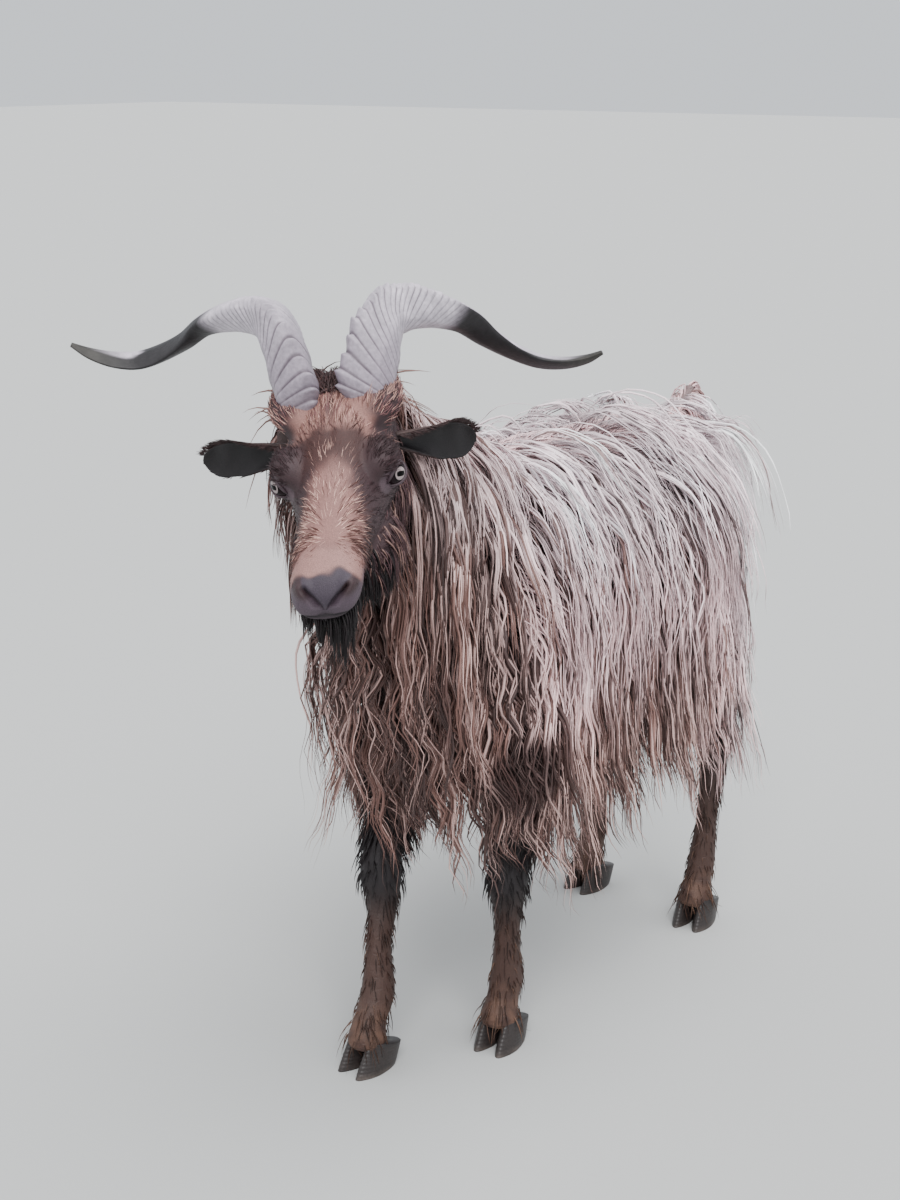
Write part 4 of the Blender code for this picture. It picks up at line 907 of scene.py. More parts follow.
def claw(x, y, sign, heading):
    """A claw's rings from sole to crown: forward half length * cos, across half width * sin ** 0.8.

    Each ring is shorter and set further back as it rises, and its toe is drawn to a point."""
    level = np.linspace(0, 1, CLAW_ROWS)[:, None]
    turn = circle(CLAW_AROUND)[None, :]
    ahead, beside = np.cos(turn), np.sin(turn)
    ridge = 1 + 0.012 * np.sin(level * 9 * np.pi * 2 + ahead) - 0.03 * (1 - level) ** 8
    half = (CLAW_LENGTH + (CROWN_LENGTH - CLAW_LENGTH) * level) / 2 * ridge
    wide = CLAW_WIDTH * (0.5 - 0.05 * level) * ridge
    forward = half * ahead + 0.004 - (CROWN_BACK + 0.004) * level
    across = wide * signed_power(beside, 0.8) * (1 - 0.42 * np.maximum(0, ahead) ** 2)
    across = (across + (CLAW_WIDTH + CLEFT) * 0.5) * sign
    high = (CROWN_HEIGHT + CROWN_SLOPE * CROWN_LENGTH / 2 * ahead) * level
    c, s = math.cos(heading), math.sin(heading)
    return np.stack([x + c * across + s * forward, y + s * across - c * forward, high], -1)


hoof_horn = finish_paint("hoof", 0.42, 320, 0.3, shade=0.2)
for kind, stances in (("fore", FORE), ("hind", HIND)):
    for side, name in SIDES:
        for claw_name, sign in (("outer", side), ("inner", -side)):
            grid = claw(*stances[side][0], sign, side * FOOT_TURN)
            hoof = closed_tube(f"claw_{kind}_{name}_{claw_name}", grid)
            level = np.linspace(0, 1, CLAW_ROWS)[:, None]
            worn = step(0.25, 0.0, level) * (0.5 + 0.5 * mottle(grid, 0.02, 31))
            tint = blend(CLAW_GREY, CLAW_WORN, worn)
            tint = blend(tint, CLAW_CROWN, step(0.8, 1.0, level))
            settled(hoof, with_poles(tint), hoof_horn, "hoof", f"{kind}hoof_{name}_{claw_name}")


# Fleece: long locks of coarse hair rooted all over the barrel, parted on the spine and hung in
# slow waves down both flanks, pale over dark, with ragged tips that the breeze lifts a little.
# Each tuft is a tapering three-sided strand; neighbours are drawn together towards a leading lock.
LATTICE_LOW, LATTICE_HIGH, CELL = np.array([-0.27, -0.82, 0.16]), np.array([0.33, 0.48, 1.0]), 0.014
WIND = np.array([0.80, 0.60, 0.0])
WAVE_LONG, WAVE_HIGH = 0.078, 0.0072
OVERLAP = 0.003                # a tuft's patch on the unwrap
STREAKS, STREAK_BREAKS = 14, 1.2  # fine hairs told apart across a strand, and breaks in each along it
CLEARANCE = 0.009              # least gap from a strand to a point of a horn or an ear
LOCK_CELL = 0.030              # how far apart the leading locks stand
WIDEST, WIDEST_GIVE = 0.198, 0.015  # the coat lies closer where it would stand wider than this
BENDS = 14                     # rings along a long strand before its tip
BODY_TUFTS = 11250
LOCK_FLAT = 0.24               # how thick a lock's strand is, as a share of its width
CHEST_FROM, CHEST_TO, RUMP_FROM = -0.345, -0.235, 0.165  # where the coat's pieces meet along the body
LOW_TAN, CHEST_TAN, SHOULDER_TAN = paint(204, 166, 152), paint(196, 160, 150), paint(186, 154, 148)
NECK_TAN = paint(170, 134, 126)


def height_lattice(parts):
    """Height over the skin at every corner of a box of cells, less than 0 inside.

    It is the least of the parts' own heights, each the distance to the nearest face, with its side."""
    axes = [np.arange(low, high, CELL) for low, high in zip(LATTICE_LOW, LATTICE_HIGH)]
    corners = np.stack(np.meshgrid(*axes, indexing="ij"), -1)
    heights = np.full(corners.shape[:3], 9.0)
    for points, triangles in parts:
        tree = BVHTree.FromPolygons(points.tolist(), triangles.tolist())
        found = [tree.find_nearest(corner) for corner in corners.reshape(-1, 3).tolist()]
        near = np.array([hit[0] for hit in found])
        facing = np.array([hit[1] for hit in found])
        gap = corners.reshape(-1, 3) - near
        side = np.where((gap * facing).sum(-1) < 0, -1, 1)
        heights = np.minimum(heights, (np.linalg.norm(gap, axis=-1) * side).reshape(heights.shape))
    outward = np.stack(np.gradient(heights, CELL), -1)
    return np.concatenate([heights[..., None], outward], -1)


lattice = height_lattice([(body_points, body_triangles), (head_points, head_triangles)])


def over_skin(places):
    """Height over the skin and the way straight out, blended from the eight corners of the cell."""
    at = np.clip((places - LATTICE_LOW) / CELL, 0, np.array(lattice.shape[:3]) - 1.001)
    low = at.astype(int)
    part = at - low
    total = 0.0
    for i in (0, 1):
        for j in (0, 1):
            for k in (0, 1):
                share = (np.abs(1 - i - part[..., 0]) * np.abs(1 - j - part[..., 1])
                         * np.abs(1 - k - part[..., 2]))
                corner = lattice[low[..., 0] + i, low[..., 1] + j, low[..., 2] + k]
                total = total + share[..., None] * corner
    return total[..., 0], unit(total[..., 1:])


def scattered(points, triangles, count, seed, density):
    """Random roots on a skin with their normals: a triangle is drawn with odds of its area times
    the density at its middle, and the root is a + (b - a) u + (c - a) v, folded where u + v > 1."""
    draw = np.random.default_rng(seed)
    a, b, c = np.moveaxis(points[triangles], 1, 0)
    cross = np.cross(b - a, c - a)
    odds = np.linalg.norm(cross, axis=1) * density((a + b + c) / 3, unit(cross))
    picked = draw.choice(len(triangles), count, p=odds / odds.sum())
    u, v = draw.random((2, count, 1))
    folded = u + v > 1
    u, v = np.where(folded, 1 - u, u), np.where(folded, 1 - v, v)
    corner = [x[picked] for x in (a, b, c)]
    facing = np.zeros_like(points)
    for k in range(3):
        np.add.at(facing, triangles[:, k], cross)
    facing = unit(facing)[triangles[picked]].mean(1)
    return corner[0] + (corner[1] - corner[0]) * u + (corner[2] - corner[0]) * v, unit(facing)


def uncovered(roots, normals):
    """The roots, with their normals, that no other flesh covers."""
    free = over_skin(roots + normals * 0.004)[0] > 0
    return roots[free], normals[free]


def fall(roots, normals, comb, length, clear, bends, breeze):
    """Paths that leave the skin along the comb, then hang, and never sink into the skin.

    Each step turns the heading towards the pull, less the part of it that points into a near skin,
    and lifts the path to its clearance, which grows from the root as 1 - exp(-distance / 0.03)."""
    place = roots - normals * 0.002
    heading = unit(comb - normals * (comb * normals).sum(-1, keepdims=True) + normals * 0.35)
    path = [place]
    pace = (length / bends)[:, None]
    for k in range(bends):
        high, out = over_skin(place)
        share = step(0.0, 0.45, (k + 0.5) / bends)
        low = step(0.60, 0.30, place[:, 2:3])
        pull = unit(comb * (1 - share) + (np.array([0, 0, -1.0]) + WIND * breeze * low) * share)
        sink = np.minimum((pull * out).sum(-1), 0) * np.exp(-np.maximum(high, 0) / 0.03)
        heading = unit(heading * 0.45 + 0.55 * unit(pull - out * sink[:, None]))
        place = place + heading * pace
        high, out = over_skin(place)
        wanted = clear * (1 - np.exp(-length * (k + 1) / bends / 0.03))
        place = place + out * np.maximum(wanted - high, 0)[:, None]
        path.append(place)
    return np.stack(path, 1)


def leaders(roots, cell):
    """The first place in each cell, which leads, and for every root the leader nearest to it."""
    cells = np.floor(roots / cell).astype(int)
    lead = np.sort(np.unique(cells, axis=0, return_index=True)[1])
    parts = np.array_split(roots, max(1, len(roots) // 1500))
    return lead, np.concatenate([np.argmin(((part[:, None] - roots[lead][None]) ** 2).sum(-1), axis=1)
                                 for part in parts])


def locks(roots, normals, comb, length, clear, cell, seed, breeze=0.2, gather=0.8, wave=1.0, bends=BENDS):
    """Strand paths in locks: one leading path in each cell, followed by the roots nearest to it.

    A strand is its root plus its leader's course scaled to its own length, less the gap between
    them by the share it has gathered, with a wave in step with its leader's, then cleared again."""
    draw = np.random.default_rng(seed)
    lead, leader = leaders(roots, cell)
    courses = fall(roots[lead], normals[lead], comb[lead], length[lead], clear[lead], bends, breeze)
    share = np.linspace(0, 1, bends + 1)
    scale = (length / length[lead][leader])[:, None, None]
    course = courses[leader] - courses[leader][:, :1]
    aside = roots - roots[lead][leader]
    gathered = (gather * draw.uniform(0.5, 1.15, len(roots)))[:, None] * share ** 0.8
    paths = (roots - normals * 0.002)[:, None] + course * scale - aside[:, None] * gathered[..., None]
    along = unit(np.gradient(paths, axis=1))
    across = unit(np.cross(along, normals[:, None]))
    distance = share * length[:, None]
    phase = draw.uniform(0, 2 * np.pi, len(lead))[leader] + draw.normal(0, 0.35, len(roots))
    reach = (WAVE_LONG * draw.uniform(0.8, 1.45, len(lead)))[leader]
    turn = 2 * np.pi * distance / reach[:, None] + phase[:, None]
    size = (wave * WAVE_HIGH * draw.uniform(0.6, 1.4, len(lead)))[leader][:, None]
    size = size * step(0, 0.09, distance)
    stray = draw.normal(0, 0.030, (len(roots), 1, 3)) * (share ** 2)[None, :, None]
    stray = stray * length[:, None, None]
    out = np.cross(across, along)
    paths = (paths + across * (np.sin(turn) * size)[..., None]
             + out * (np.cos(turn * 0.9) * size * 0.5)[..., None] + stray)
    high, outward = over_skin(paths)
    wanted = clear[:, None] * (1 - np.exp(-distance / 0.03)) * draw.uniform(0.5, 1.1, (len(roots), 1))
    return paths + outward * (np.maximum(wanted - high, 0) * (share > 0))[..., None]


def strands(name, slot, paths, normals, widths, tints, unwrap, flat=0.45):
    """A piece of closed tapering strands along paths, each with its own patch on the unwrap.

    A ring is three corners about the path, half a width to each side and a ridge outward; the width
    rises from the root and closes to the tip as (1 - t) ** 0.75, and the last path point is the tip."""
    count, rows = paths.shape[0], paths.shape[1] - 1
    t = np.linspace(0, 1, rows + 1)[:-1]
    size = widths[:, None] * (0.14 + 0.86 * step(0, 0.22, t)) * (1 - t) ** 0.75
    along = unit(np.gradient(paths, axis=1))[:, :-1]
    beside = unit(np.cross(along, np.broadcast_to(normals[:, None], along.shape)))
    out = np.cross(beside, along)
    turn = np.array([-2.4, 0.0, 2.4])
    corner = (beside[:, :, None] * (np.sin(turn) * 0.74)[:, None]
              + out[:, :, None] * (np.cos(turn) * flat)[:, None])
    rings = paths[:, :-1, None] + corner * size[..., None, None]
    points = np.concatenate([rings.reshape(count, -1, 3), paths[:, -1:]], 1)
    quads = ring_quads(rows, 3)
    end = (rows - 1) * 3
    tips = np.array([[end, end + 1, rows * 3], [end + 1, end + 2, rows * 3], [end + 2, end, rows * 3],
                     [2, 1, 0]])
    first = np.arange(count)[:, None, None] * (rows * 3 + 1)
    obj = piece(name, points.reshape(-1, 3), (quads + first).reshape(-1, 4),
                (tips + first).reshape(-1, 3))
    k, n = np.meshgrid(np.arange(rows - 1), np.arange(3), indexing="ij")
    lift = np.stack([n, k, n + 1, k, n + 1, k + 1, n, k + 1], -1).reshape(-1, 4, 2)
    quad_uv = lift / [3, rows]
    high = (rows - 1) / rows
    tip_uv = np.array([[[0, high], [1 / 3, high], [1 / 6, 1]], [[1 / 3, high], [2 / 3, high], [1 / 2, 1]],
                       [[2 / 3, high], [1, high], [5 / 6, 1]], [[1, 0], [0.5, 0], [0, 0]]])
    if obj.data.loops[0].vertex_index != quads[0, 0]:  # the piece was turned over
        quad_uv, tip_uv = quad_uv[:, ::-1], tip_uv[:, ::-1]
    layer = obj.data.uv_layers.new(name="OFBake")
    place = [unwrap[:, None, None] + OVERLAP * uv[None] for uv in (quad_uv, tip_uv)]
    layer.data.foreach_set("uv", np.concatenate([p.reshape(-1, 2) for p in place]).astype(np.float32)
                           .ravel())
    tints = np.broadcast_to(tints, paths.shape)
    shades = np.concatenate([np.repeat(tints[:, :-1], 3, axis=1), tints[:, -1:]], 1)
    settled(obj, shades.reshape(-1, 3), hair, slot)


def round_barrel(places):
    """The unwrap of the body: round the barrel for one way, and nose to tail for the other."""
    turn = np.arctan2(places[:, 0], places[:, 2] - 0.54) / (2 * np.pi) + 0.5
    return np.stack([turn, (places[:, 1] + 0.60) / 1.10], -1) * 0.99


def fleece_tint(paths, luck, lead_luck):
    """Pale along the back and rump, lilac down the flanks, browner on the chest and low down.

    Each strand is darkened at its root, partly its own darker root and partly painted shade deep in the
    coat, and tan at a low tip; some whole locks are brown.  The strands that stand least off the skin
    are painted dark, as a dark undercoat and as painted shade between the locks, and painted shade
    darkens the coat where the left foreleg meets the chest."""
    share = np.linspace(0, 1, paths.shape[1])[None, :]
    x, y, z = np.moveaxis(paths, -1, 0)
    rump = step(0.02, 0.16, y)
    tint = blend(LILAC, PALE, step(0.52, 0.70, z) * 0.9 + step(0.12, 0.26, y))
    tint = blend(tint, LOW_TAN, step(0.52, 0.34, z) * (0.7 - 0.4 * rump))
    tint = blend(tint, CHEST_TAN, step(-0.22, -0.34, y) * step(0.76, 0.60, z) * 0.75)
    tint = blend(tint, SHOULDER_TAN, step(-0.18, -0.30, y) * 0.55)
    tint = blend(tint, NECK_TAN, step(-0.36, -0.44, y) * 0.7)
    # Undercoat and painted shade: the share of strands painted dark, more low down and at the front, fewer
    # on the back and rump; these are the strands that stand least off the skin.
    dark = (0.50 + 0.18 * step(-0.20, -0.32, y) * step(0.84, 0.50, z) + 0.12 * step(0.50, 0.38, z)
            - 0.42 * step(0.60, 0.72, z) * step(-0.34, -0.24, y) - 0.32 * rump)
    dark = np.clip(dark, 0.06, 0.8)
    undercoat_shade = blend(DARK, BROWN, lead_luck[:, None])
    tint = blend(tint, undercoat_shade, step(dark + 0.10, dark - 0.06, luck[:, None]) * 0.92)
    # Painted shade deep in the coat over a darker root: each strand darkens towards the skin, less along
    # the top of the back.
    tint = blend(tint, DARK, step(0.32, 0.0, share) * (0.80 - 0.50 * step(0.62, 0.74, z)))
    # Painted shade where the left foreleg meets the chest.
    elbow_shade = ((x - 0.130) / 0.035) ** 2 + ((y + 0.270) / 0.055) ** 2 + ((z - 0.395) / 0.055) ** 2
    tint = blend(tint, DARK, step(1.3, 0.6, elbow_shade) * 0.85)
    return np.minimum(tint * (0.72 + 0.50 * lead_luck[:, None, None]), 1)


def coat_share(mids, facing):
    """How thick the long coat grows: none below the joints or within the head, more on the back."""
    _, forward, dorsal = to_head(mids).T
    under_face = (forward < -0.010) | (dorsal < -0.150)
    return (mids[:, 2] > 0.335) * under_face * (1 + 0.35 * step(0.60, 0.70, mids[:, 2]))


def comb_body(roots, normals):
    """The lie of the coat: parted on the spine, back along it, and down the flanks."""
    top = step(0.35, 0.97, normals[:, 2])
    side = roots[:, 0] + np.random.default_rng(19).normal(0, 0.012, len(roots)) * top
    front = step(-0.20, -0.32, roots[:, 1])
    sway = 0.30 * np.stack([mottle(roots, 0.11, 31), mottle(roots, 0.10, 32), 0 * top], -1)
    return unit(np.stack([np.sign(side) * (0.10 + 0.80 * top) + front * normals[:, 0] * 0.8,
                          0.12 + 0.20 * top - 0.25 * front, -1 + 0.75 * top], -1) + sway)


def coat_length(roots, normals):
    """Lock lengths: longest on flank, chest and back, shorter on rump and neck, short on the limbs."""
    x, y, z = roots.T
    length = 0.205 - 0.035 * step(0.16, 0.26, y) - 0.06 * step(-0.42, -0.52, y)
    length = length * (1 - 0.30 * step(-0.2, -0.8, normals[:, 2]) * (np.abs(y + 0.05) < 0.25))
    length = length * (1 - 0.36 * step(-0.27, -0.33, y) * step(0.58, 0.64, z) * (x < 0))
    limb = step(0.44, 0.34, z) * ((y < -0.12) | (y > 0.06))
    return length * (1 - 0.60 * limb) * (1 - 0.35 * step(-0.38, -0.48, y))


def coat_rise(roots, length, luck):
    """How far each strand stands off the skin: most on the back and the right of the chest, little
    behind the head and on the right of the neck."""
    x, y, z = roots.T
    rise = (0.003 + 0.027 * luck) * np.clip(length / 0.2, 0.3, 1)
    back = 1.1 * step(0.60, 0.72, z) * step(-0.30, -0.20, y) * (1 + 0.55 * step(-0.06, 0.06, y))
    chest = 1.5 * step(-0.20, -0.28, y) * (x < 0.02) * step(0.64, 0.54, z)
    rise = rise * (1 + back + chest)
    rise = rise * (1 - 0.70 * step(-0.30, -0.40, y) * step(0.70, 0.76, z))
    rise = rise * (1 - 0.40 * step(-0.34, -0.42, y))
    return rise * (1 - 0.7 * step(-0.27, -0.33, y) * step(0.58, 0.64, z) * (x < 0))


def clear_of_horns(paths):
    """Which strands keep clear of the horns and ears: no point of theirs comes near a point of those."""
    free = np.ones(len(paths), bool)
    spots = np.concatenate([grid[::4, ::3].reshape(-1, 3)
                            for grid in (*ear_grids.values(), *horn_grids.values())])
    near = np.where((paths[:, :, 2].max(1) > 0.74) & (paths[:, :, 1].min(1) < -0.30))[0]
    for part in np.array_split(near, max(1, len(near) // 60)):
        gap = paths[part][:, :, None] - spots[None, None]
        free[part] = (gap ** 2).sum(-1).min((1, 2)) > CLEARANCE ** 2
    return free


# The hair is streaked along each strand, over its own patch of the unwrap.
hair = finish_paint("hair", 0.50, 620, 0.35, shade=0.14, specular=0.30)
tree = hair.node_tree
unwrapped = tree.nodes.new("ShaderNodeUVMap")
unwrapped.uv_map = "OFBake"
stretch = tree.nodes.new("ShaderNodeMapping")
stretch.inputs["Scale"].default_value = (STREAKS / OVERLAP, STREAK_BREAKS / OVERLAP, 1)
tree.links.new(unwrapped.outputs["UV"], stretch.inputs["Vector"])
under = tree.nodes["Principled BSDF"].inputs["Base Color"].links[0].from_socket
uneven(tree, under, stretch.outputs["Vector"], 1.0, 2, (0.38, 0.62), (0.62, 1.28))

roots, normals = uncovered(*scattered(body_points, body_triangles, BODY_TUFTS, 5, coat_share))
draw = np.random.default_rng(17)
luck = draw.random(len(roots))
lead, leader = leaders(roots, LOCK_CELL)
lead_luck = draw.random(len(lead))[leader]
length = coat_length(roots, normals) * draw.uniform(0.72, 1.22, len(lead))[leader]
length = length * draw.uniform(0.84, 1.06, len(roots))
paths = locks(roots, normals, comb_body(roots, normals), length, coat_rise(roots, length, luck),
              LOCK_CELL, 23)
over = np.maximum(paths[..., 0] - WIDEST, 0)
paths[..., 0] += WIDEST_GIVE * (1 - np.exp(-over / WIDEST_GIVE)) - over
keep = clear_of_horns(paths)
keep &= (paths[..., 2].max(1) - roots[:, 2] < 0.020) | (roots[:, 1] > -0.22)
roots, normals, paths, length = roots[keep], normals[keep], paths[keep], length[keep]
tints = fleece_tint(paths, luck[keep], lead_luck[keep])
widths = np.where(draw.random(len(roots)) < 0.38, draw.uniform(0.0046, 0.0084, len(roots)),
                  draw.uniform(0.0016, 0.0036, len(roots))) * np.clip(length / 0.15, 0.6, 1)
x, y = roots[:, 0], roots[:, 1]
middle, upper = (y >= CHEST_TO) & (y <= RUMP_FROM), normals[:, 2] > 0.55
for name, mask in (
    ("chest_locks", (y < CHEST_TO) & (y > CHEST_FROM)),
    ("neck_locks", y <= CHEST_FROM),
    ("rump_locks", y > RUMP_FROM),
    ("back_locks", middle & upper),
    ("flank_locks_left", middle & ~upper & (x > 0)),
    ("flank_locks_right", middle & ~upper & (x <= 0)),
):
    strands(name, "fleece", paths[mask], normals[mask], widths[mask], tints[mask],
            round_barrel(roots[mask]), flat=LOCK_FLAT)


# Leg hair: close shaggy hair, longest down the back of the forearm and thigh, that thins to short
# fur over the shanks and hangs over the top of the hooves.
def short_tufts(roots, normals, comb, length, rise, bends, seed, droop=0.2):
    """Paths of short hair: root + length * (comb * t + normal * rise * t * (1 - 0.55 t)), less a
    droop of t squared, each turned a little at random."""
    draw = np.random.default_rng(seed)
    lie = unit(comb + draw.normal(0, 0.22, roots.shape))
    lie = unit(lie - normals * (lie * normals).sum(-1, keepdims=True))
    t = np.linspace(0, 1, bends + 1)[None, :, None]
    size = length[:, None, None]
    rise = (rise * draw.uniform(0.6, 1.4, len(roots)))[:, None, None]
    return ((roots - normals * 0.0008)[:, None] + size * t * lie[:, None]
            + normals[:, None] * size * rise * t * (1 - 0.55 * t) - size * droop * t ** 2 * [0, 0, 1.0])


def leg_share(mids, facing):
    """Leg hair grows from the hoof up to where the long coat covers it."""
    return (mids[:, 2] < 0.40) * (mids[:, 2] > 0.024) * (1 + 0.6 * step(0.20, 0.34, mids[:, 2]))


LEG_TUFTS = 5600
GRIZZLE = paint(112, 86, 72)
roots, normals = scattered(body_points, body_triangles, LEG_TUFTS, 41, leg_share)
high = roots[:, 2]
behind = step(-0.2, 0.8, normals[:, 1])
length = (0.013 + 0.010 * step(0.12, 0.20, high) + (0.026 + 0.012 * behind) * step(0.22, 0.36, high)
          + 0.018 * step(0.095, 0.050, high))
draw = np.random.default_rng(43)
length = length * draw.uniform(0.6, 1.25, LEG_TUFTS)
comb = np.stack([normals[:, 0] * 0.2, 0.15 + normals[:, 1] * 0.3, -np.ones(LEG_TUFTS)], -1)
paths = short_tufts(roots, normals, comb, length, 0.45, 4, 44)
paths[..., 2] = np.maximum(paths[..., 2], 0.004)
luck = draw.random((LEG_TUFTS, 1, 1))
tints = leg_tint(paths) * (0.45 + 0.65 * luck)
tints = blend(tints, GRIZZLE, (luck[..., 0] > 0.86) * step(0.20, 0.10, paths[..., 2]) * 0.6)
widths = draw.uniform(0.0012, 0.0024, LEG_TUFTS) * (1 + step(0.2, 0.34, high))
strands("leg_hair", "leg", paths, normals, widths, tints, round_barrel(roots))


# Mane: shorter hair along the crest of the neck and the spine, combed back from the poll to the rump,
# where it closes the parting of the long coat.
def mane_share(mids, facing):
    """The mane covers the upper half of the neck, behind the head, and a strip along the spine."""
    neck = step(-0.20, -0.26, mids[:, 1]) * step(0.0, 0.5, facing[:, 2])
    spine = step(0.045, 0.025, np.abs(mids[:, 0])) * (facing[:, 2] > 0.6) * (mids[:, 1] < 0.23)
    return (mids[:, 2] > 0.58) * np.maximum(neck, spine)


MANE_TUFTS = 2200
MANE_BROWN = paint(150, 116, 108)
roots, normals = uncovered(*scattered(body_points, body_triangles, MANE_TUFTS, 47, mane_share))
count = len(roots)
draw = np.random.default_rng(48)
length = draw.uniform(0.045, 0.085, count)
comb = np.stack([normals[:, 0] * 0.9 + draw.normal(0, 0.35, count), np.full(count, 0.75),
                 np.full(count, -0.45)], -1)
droop = 0.10 + 0.35 * step(0.95, 0.5, normals[:, 2])
paths = short_tufts(roots, normals, comb, length, 0.34, 5, 49, droop[:, None, None])
keep = clear_of_horns(paths)
tints = blend(MANE_BROWN, LILAC, step(-0.36, -0.24, paths[..., 1]))
tints = blend(tints, DARK, (draw.random((count, 1)) < 0.22) * 0.8)
tints = tints * draw.uniform(0.7, 1.1, (count, 1, 1))
widths = draw.uniform(0.0020, 0.0050, count)
strands("mane", "fleece", paths[keep], normals[keep], widths[keep], tints[keep],
        round_barrel(roots[keep]), flat=LOCK_FLAT)


# Face hair: thousands of small flat tufts that fan out from a whorl above the nose, up the face
# to the horns and back over the cheeks.  Nose pad, lips and eyelids are bare.
def round_face(places):
    """The unwrap of the head: round the muzzle for one way, and brow to nose for the other."""
    left, forward, dorsal = to_head(places).T
    turn = np.arctan2(left, dorsal + 0.065) / (2 * np.pi) + 0.5
    return np.stack([turn, (forward + 0.07) / 0.31], -1) * 0.99


def face_share(mids, facing):
    """Hair grows thinly on the muzzle and not on the nose pad, in the nostrils, on lips or lids."""
    place = to_head(mids)
    _, forward, dorsal = place.T
    brow, band = 0.5 * step(-0.06, -0.03, dorsal), 1.2 * step(0.170, 0.186, forward)
    share = step(0.214, 0.192, forward) * (1 + brow + band)
    share = share * (1 - mouth_line(place)) * (forward > -0.045)
    share = share * (1 - step(0.190, 0.200, forward) * step(-0.070, -0.064, dorsal) * 0.8)
    for side in (1, -1):
        along, up, _ = from_eye(place, side)
        share = share * ((along / 0.0165) ** 2 + (up / 0.0110) ** 2 > 1)
    return share


FACE_TUFTS = 10800
STROKE_BROWN, STROKE_PALE, CROWN_PALE = paint(84, 54, 50), paint(204, 164, 152), paint(196, 154, 142)
CROWN_BROWN = paint(112, 78, 78)
WHORL = 0.166                  # where the hair of the face parts, forward of the forehead
roots, normals = scattered(head_points, head_triangles, FACE_TUFTS, 51, face_share)
place = to_head(roots)
left, forward, dorsal = place.T
draw = np.random.default_rng(53)
away = np.stack([left * 1.5, forward - WHORL, (dorsal + 0.03) * 1.2], -1)
back = np.stack([np.sign(left) * 0.25, np.full(FACE_TUFTS, -1.0), np.full(FACE_TUFTS, -0.55)], -1)
comb = blend(unit(away), unit(back), step(-0.045, -0.075, dorsal) * step(0.19, 0.16, forward))
muzzle = step(0.165, 0.185, forward)
brow = step(0.060, 0.020, forward)
length = 0.0150 - 0.0085 * muzzle + 0.008 * brow * step(0.044, 0.028, np.abs(left))
length = length + 0.004 * step(-0.07, -0.10, dorsal)
length = length * draw.uniform(0.7, 1.3, FACE_TUFTS)
paths = short_tufts(roots, normals, head_line(comb), length, 0.10, 3, 54, droop=0.02)
luck = draw.random(FACE_TUFTS)
tint = face_tint(place)
bridge = step(0.050, 0.085, forward) * step(0.180, 0.160, forward) * step(-0.062, -0.034, dorsal)
bridge = bridge * in_stroke(np.abs(unchewed(place)[:, 0]), forward)
crown = step(0.055, 0.035, forward) * step(-0.05, -0.03, dorsal)
tint = blend(tint, STROKE_BROWN, bridge * (luck < 0.36))
tint = blend(tint, STROKE_PALE, bridge * (luck > 0.62))
tint = blend(tint, CROWN_PALE, crown * (luck > 0.62) * 0.8)
tint = blend(tint, CROWN_BROWN, crown * (luck < 0.38))
tints = tint[:, None] * (0.80 + 0.42 * draw.random((FACE_TUFTS, 1, 1)))
tints = tints * np.linspace(0.86, 1.10, 4)[None, :, None]
widths = draw.uniform(0.0011, 0.0020, FACE_TUFTS) * (1 - 0.4 * muzzle)
strands("face_hair", "face", paths, normals, widths, tints, round_face(roots))


# Forelock: a dark upright tuft between the horns, over the tan tufts of the brow.
def forelock_share(mids, facing):
    """The forelock grows on the poll, between the two horns."""
    left, forward, dorsal = to_head(mids).T
    return (np.abs(left) < 0.012) * (forward < -0.002) * (forward > -0.040) * (dorsal > -0.05)


FORELOCK_TUFTS = 420
FORELOCK_BROWN = paint(66, 48, 48)
roots, normals = scattered(head_points, head_triangles, FORELOCK_TUFTS, 61, forelock_share)
draw = np.random.default_rng(63)
left = to_head(roots)[:, 0]
comb = head_line(np.stack([left * 14, np.full(FORELOCK_TUFTS, -0.6), np.full(FORELOCK_TUFTS, 0.5)], -1))
length = draw.uniform(0.012, 0.026, FORELOCK_TUFTS)
paths = short_tufts(roots, normals, comb, length, 0.7, 5, 64, droop=0.1)
tints = FORELOCK_BROWN * draw.uniform(0.5, 1.5, (FORELOCK_TUFTS, 1, 1))
widths = draw.uniform(0.0014, 0.0026, FORELOCK_TUFTS)
strands("forelock", "face", paths, normals, widths, tints, round_face(roots))


# Cheek hair: dark brown hair behind the cheeks and along the jaw, hanging over the throat.
def cheek_share(mids, facing):
    """Longer hair grows below and behind the cheeks, from the ear to the corner of the mouth."""
    _, forward, dorsal = to_head(mids).T
    return step(-0.066, -0.090, dorsal) * (forward < 0.165) + (forward < -0.005) * (dorsal < -0.06) * 0.6


CHEEK_TUFTS = 2400
CHEEK_BROWN, CHEEK_TAN = paint(74, 54, 56), paint(132, 104, 96)
roots, normals = scattered(head_points, head_triangles, CHEEK_TUFTS, 71, cheek_share)
draw = np.random.default_rng(73)
left, forward, dorsal = to_head(roots).T
length = 0.036 - 0.012 * step(0.06, 0.15, forward) + 0.014 * step(0.02, -0.03, forward)
length = length * draw.uniform(0.5, 1.2, CHEEK_TUFTS)
length = length * (0.45 + 0.55 * step(-0.070, -0.105, dorsal)) * (1 - 0.45 * (left < 0))
comb = unit(np.stack([normals[:, 0] * 0.5, np.full(CHEEK_TUFTS, 0.20), np.full(CHEEK_TUFTS, -1.0)], -1))
paths = short_tufts(roots, normals, comb, length, 0.55, 6, 74, droop=0.35)
tints = blend(CHEEK_BROWN, CHEEK_TAN, (draw.random((CHEEK_TUFTS, 1)) > 0.80) * 0.7)
tints = tints * draw.uniform(0.55, 1.3, (CHEEK_TUFTS, 1, 1))
widths = draw.uniform(0.0018, 0.0034, CHEEK_TUFTS)
strands("cheek_hair", "face", paths, normals, widths, tints, round_face(roots))


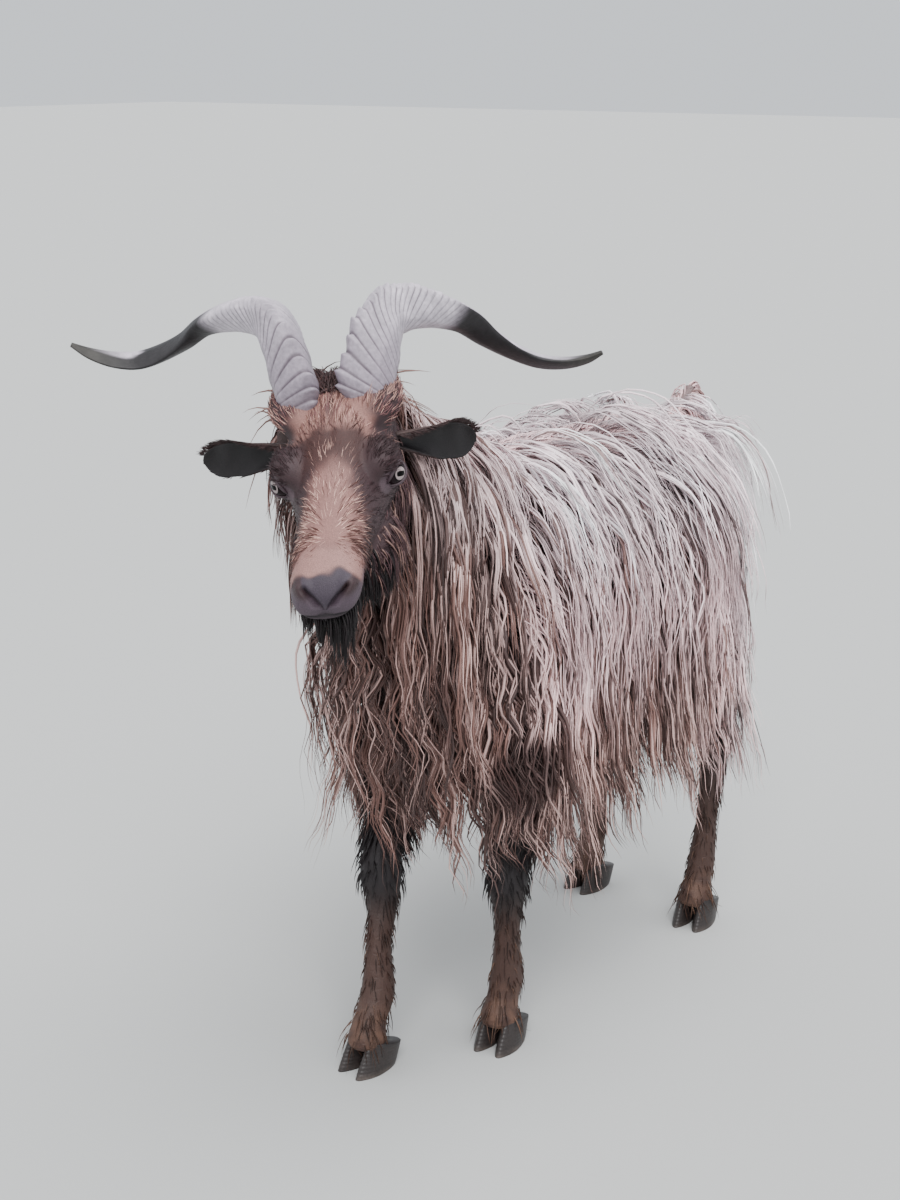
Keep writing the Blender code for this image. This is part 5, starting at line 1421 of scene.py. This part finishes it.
# Beard: a black wavy tuft of coarse hair under the chin and lower lip.
def beard_share(mids, facing):
    """The beard is rooted under the chin, from the lower lip back along the jaw."""
    _, forward, dorsal = to_head(mids).T
    return (dorsal < -0.078) * (forward > 0.120) * (facing @ HEAD[:, 2] < 0.25)


BEARD_TUFTS, BEARD_CELL = 1100, 0.013
BEARD_BLACK = paint(30, 24, 26)
roots, normals = scattered(head_points, head_triangles, BEARD_TUFTS, 81, beard_share)
draw = np.random.default_rng(83)
left, forward, _ = to_head(roots).T
length = 0.032 + 0.020 * step(0.014, 0.003, np.abs(left)) * step(0.14, 0.165, forward)
length = length * draw.uniform(0.5, 1.15, BEARD_TUFTS)
comb = np.stack([normals[:, 0] * 0.9, 0.10 + normals[:, 1] * 0.5, np.full(BEARD_TUFTS, -1.0)], -1)
rise = 0.004 * draw.random(BEARD_TUFTS)
paths = locks(roots, normals, unit(comb), length, rise, BEARD_CELL, 84, wave=0.55, bends=9, breeze=0.0)
tints = BEARD_BLACK * draw.uniform(0.3, 1.3, (BEARD_TUFTS, 1, 1))
widths = draw.uniform(0.0016, 0.0030, BEARD_TUFTS)
strands("beard", "face", paths, normals, widths, tints, round_face(roots))


# Tail hair: a brush of pale locks that stands back from the raised tail and falls either side.
def tail_share(mids, facing):
    """Tail hair covers the dock from its root to its tip."""
    return (mids[:, 1] > 0.225) * (mids[:, 2] > 0.655)


TAIL_TUFTS, TAIL_CELL = 900, 0.014
roots, normals = scattered(body_points, body_triangles, TAIL_TUFTS, 91, tail_share)
draw = np.random.default_rng(93)
length = draw.uniform(0.035, 0.085, TAIL_TUFTS)
comb = np.stack([normals[:, 0] * 0.6, np.full(TAIL_TUFTS, 0.9), np.full(TAIL_TUFTS, 0.35)], -1)
rise = 0.004 + 0.008 * draw.random(TAIL_TUFTS)
paths = locks(roots, normals, unit(comb), length, rise, TAIL_CELL, 94, wave=0.5, bends=8, breeze=0.6)
tints = blend(LILAC, BROWN, (draw.random((TAIL_TUFTS, 1)) < 0.30) * 0.8)
tints = tints * draw.uniform(0.75, 1.1, (TAIL_TUFTS, 1, 1))
widths = draw.uniform(0.0018, 0.0036, TAIL_TUFTS)
strands("tail_hair", "fleece", paths, normals, widths, tints, round_barrel(roots))


# Ear hair: short brown hair on the back of each ear, longer as a fringe along its upper edge.
EAR_TUFTS = 1500
FUR_BROWN = paint(54, 40, 40)
EAR_BALD = 4                   # rows at the tip without hair
for side, name in SIDES:
    grid = ear_grids[name]
    draw = np.random.default_rng(101 + side)
    row = draw.uniform(2, EAR_ROWS - EAR_BALD, EAR_TUFTS).astype(int)
    column = draw.integers(0, EAR_HALF, EAR_TUFTS)
    fringe = draw.random(EAR_TUFTS) < 0.35
    column = np.where(fringe, EAR_HALF - 1 - draw.integers(0, 2, EAR_TUFTS), column)
    roots = grid[row, column]
    normals = unit(roots - grid[row, 2 * EAR_HALF - 1 - column])
    outward = unit(grid[np.minimum(row + 3, EAR_ROWS - 1), column] - grid[row - 2, column])
    rim = column >= EAR_HALF - 2
    edge = unit(grid[row, EAR_HALF - 1] - grid[row, EAR_HALF // 2])
    comb = unit(outward + edge * rim[:, None])
    length = draw.uniform(0.004, 0.008, EAR_TUFTS) * (1 + 0.6 * rim)
    length = length * (1.3 - 0.5 * row / (EAR_ROWS - EAR_BALD))
    paths = short_tufts(roots, normals, comb, length, 0.12, 3, 104, droop=0.0)
    tints = FUR_BROWN * draw.uniform(0.5, 1.6, (EAR_TUFTS, 1, 1))
    widths = draw.uniform(0.0009, 0.0016, EAR_TUFTS)
    strands(f"ear_hair_{name}", "ear", paths, normals, widths, tints,
            np.stack([column / EAR_HALF, row / EAR_ROWS], -1) * 0.98)
